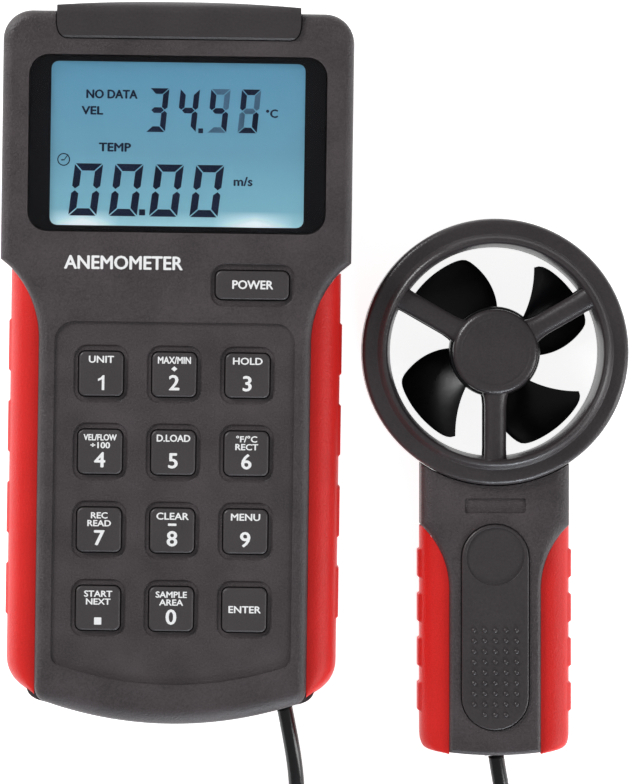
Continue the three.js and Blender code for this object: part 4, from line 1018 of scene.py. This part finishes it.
def thumb_pad():
    pad = stack("thumb_pad_face", capsule(THUMB_HALF, THUMB_TOP, THUMB_FOOT), crown(23.6, 24.8, 0.45, 4))
    carve(pad, disc("dish", [(7.25, 24.35), (7.35, 26)], 96, 0, -51.3))
    round_edges(pad, 0.14)
    dot_profile = [(0.66, 24.72), (0.62, 24.95), (0.5, 25.12), (0.3, 25.24), (0.05, 25.27)]
    dots = [disc("dot", dot_profile, 14, column * 2.66, -69.8 - 2.65 * row)
            for row in range(9) for column in (range(-2, 3) if row < 8 else range(-1, 2))]
    place(pad, "sensor", SENSOR, smooth_case, ["thumb_pad"])
    place(merged("thumb_pad_dots", dots), "sensor", SENSOR, smooth_case)


thumb_pad()
case_print = lettering("case_print", "ANEMOMETER", 3.3, -13.0, 24.6, FACE + 0.01, 0.13, 0.95)
place(case_print, "meter", METER, print_white)

# ---------------------------------------------------------------- carried over pieces
PAINTS = {
    "rear_cover": charcoal, "battery_door": charcoal, "handle_rear": charcoal, "port_cover": smooth_case,
    "battery": battery_wrap, "battery_snap": lead_black, "battery_lead_red": lead_red,
    "battery_lead_black": lead_black, "display_mask": mask_black, "lcd_panel": lcd_blue,
    "backlight_panel": light_guide, "zebra_strip": silicone, "main_board": board_green,
    "sensor_board": board_green, "microcontroller": chip_black, "usb_socket": steel,
    "keypad_mat": silicone, "meter_grommet": lead_black, "sensor_grommet": lead_black,
    "port_hinge_pin": steel, "pickup_sensor": chip_black, "thermistor": chip_black, "rotor_shaft": steel,
    "rotor_magnet": steel,
    "bearing_front": steel, "bearing_rear": steel, "handle_screw_1": steel, "handle_screw_2": steel,
    **{f"case_screw_{i}": steel for i in range(1, 5)},
}
SOFT_EDGES = {  # width of each rounded edge, in mm
    "rear_cover": 0.3, "battery_door": 0.25, "handle_rear": 0.3, "port_cover": 0.4, "battery": 0.3,
}
for name, material in PAINTS.items():
    node = nodes[name]
    node.data.materials.clear()
    node.data.materials.append(material)
    node.data.shade_smooth()
    node.data.set_sharp_from_angle(angle=math.radians(32))
    if name in SOFT_EDGES:
        plain = node.modifiers.new("plain", "DECIMATE")
        plain.decimate_type, plain.angle_limit = "DISSOLVE", math.radians(1)
        edge = node.modifiers.new("edge", "BEVEL")
        edge.width, edge.segments, edge.limit_method = SOFT_EDGES[name] * MM, 2, "ANGLE"
        edge.angle_limit = math.radians(32)
    weights = node.modifiers.new("weights", "WEIGHTED_NORMAL")
    weights.keep_sharp = True

# ---------------------------------------------------------------- floor and light
bm = bmesh.new()
corners = [bm.verts.new((sx * 3, sy * 3, 0)) for sx, sy in ((-1, -1), (1, -1), (1, 1), (-1, 1))]
bm.faces.new(corners)
floor = from_bmesh("floor", bm)
floor.location.z = -0.0001  # just under the backs of the two units
floor_paint, floor_tree, floor_shader = new_material("floor")
floor_shade = ramp(floor_tree, noise(floor_tree, 4).outputs["Fac"], [(0.3, (0.93, 0.93, 0.93, 1)),
                                                                    (0.7, (0.96, 0.96, 0.96, 1))])
floor_tree.links.new(floor_shade.outputs["Color"], floor_shader.inputs["Base Color"])
floor_tree.links.new(floor_shade.outputs["Color"], floor_shader.inputs["Emission Color"])
floor_shader.inputs["Emission Strength"].default_value = 0.92
floor_shader.inputs["Roughness"].default_value = 0.8
floor.data.materials.append(floor_paint)
floor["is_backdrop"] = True


def softbox(name, place_at, size, power, color=(1, 1, 1)):
    """A lamp of that size in metres and power in watts, turned towards the origin."""
    data = bpy.data.lights.new(name, "AREA")
    data.shape, data.size, data.size_y, data.energy, data.color = "RECTANGLE", *size, power, color
    lamp = bpy.data.objects.new(name, data)
    scene.collection.objects.link(lamp)
    lamp.location = place_at
    lamp.rotation_euler = (-Vector(place_at)).to_track_quat("-Z", "Y").to_euler()


softbox("key_light", (-1.1, 0.95, 0.75), (0.55, 0.55), 21)
softbox("side_light", (1.25, -0.35, 0.5), (0.4, 0.9), 7.5)
softbox("foot_light", (0.35, -1.2, 0.38), (0.6, 0.2), 10, (0.86, 0.93, 1.0))
world = bpy.data.worlds.new("world")
scene.world = world
world.use_nodes = True
world.node_tree.nodes["Background"].inputs["Color"].default_value = (1, 1, 1, 1)
world.node_tree.nodes["Background"].inputs["Strength"].default_value = 0.33
scene.view_settings.view_transform = "Standard"

low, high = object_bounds()
{"cad": [list(cad_low), list(cad_high)], "visual": [list(low), list(high)]}
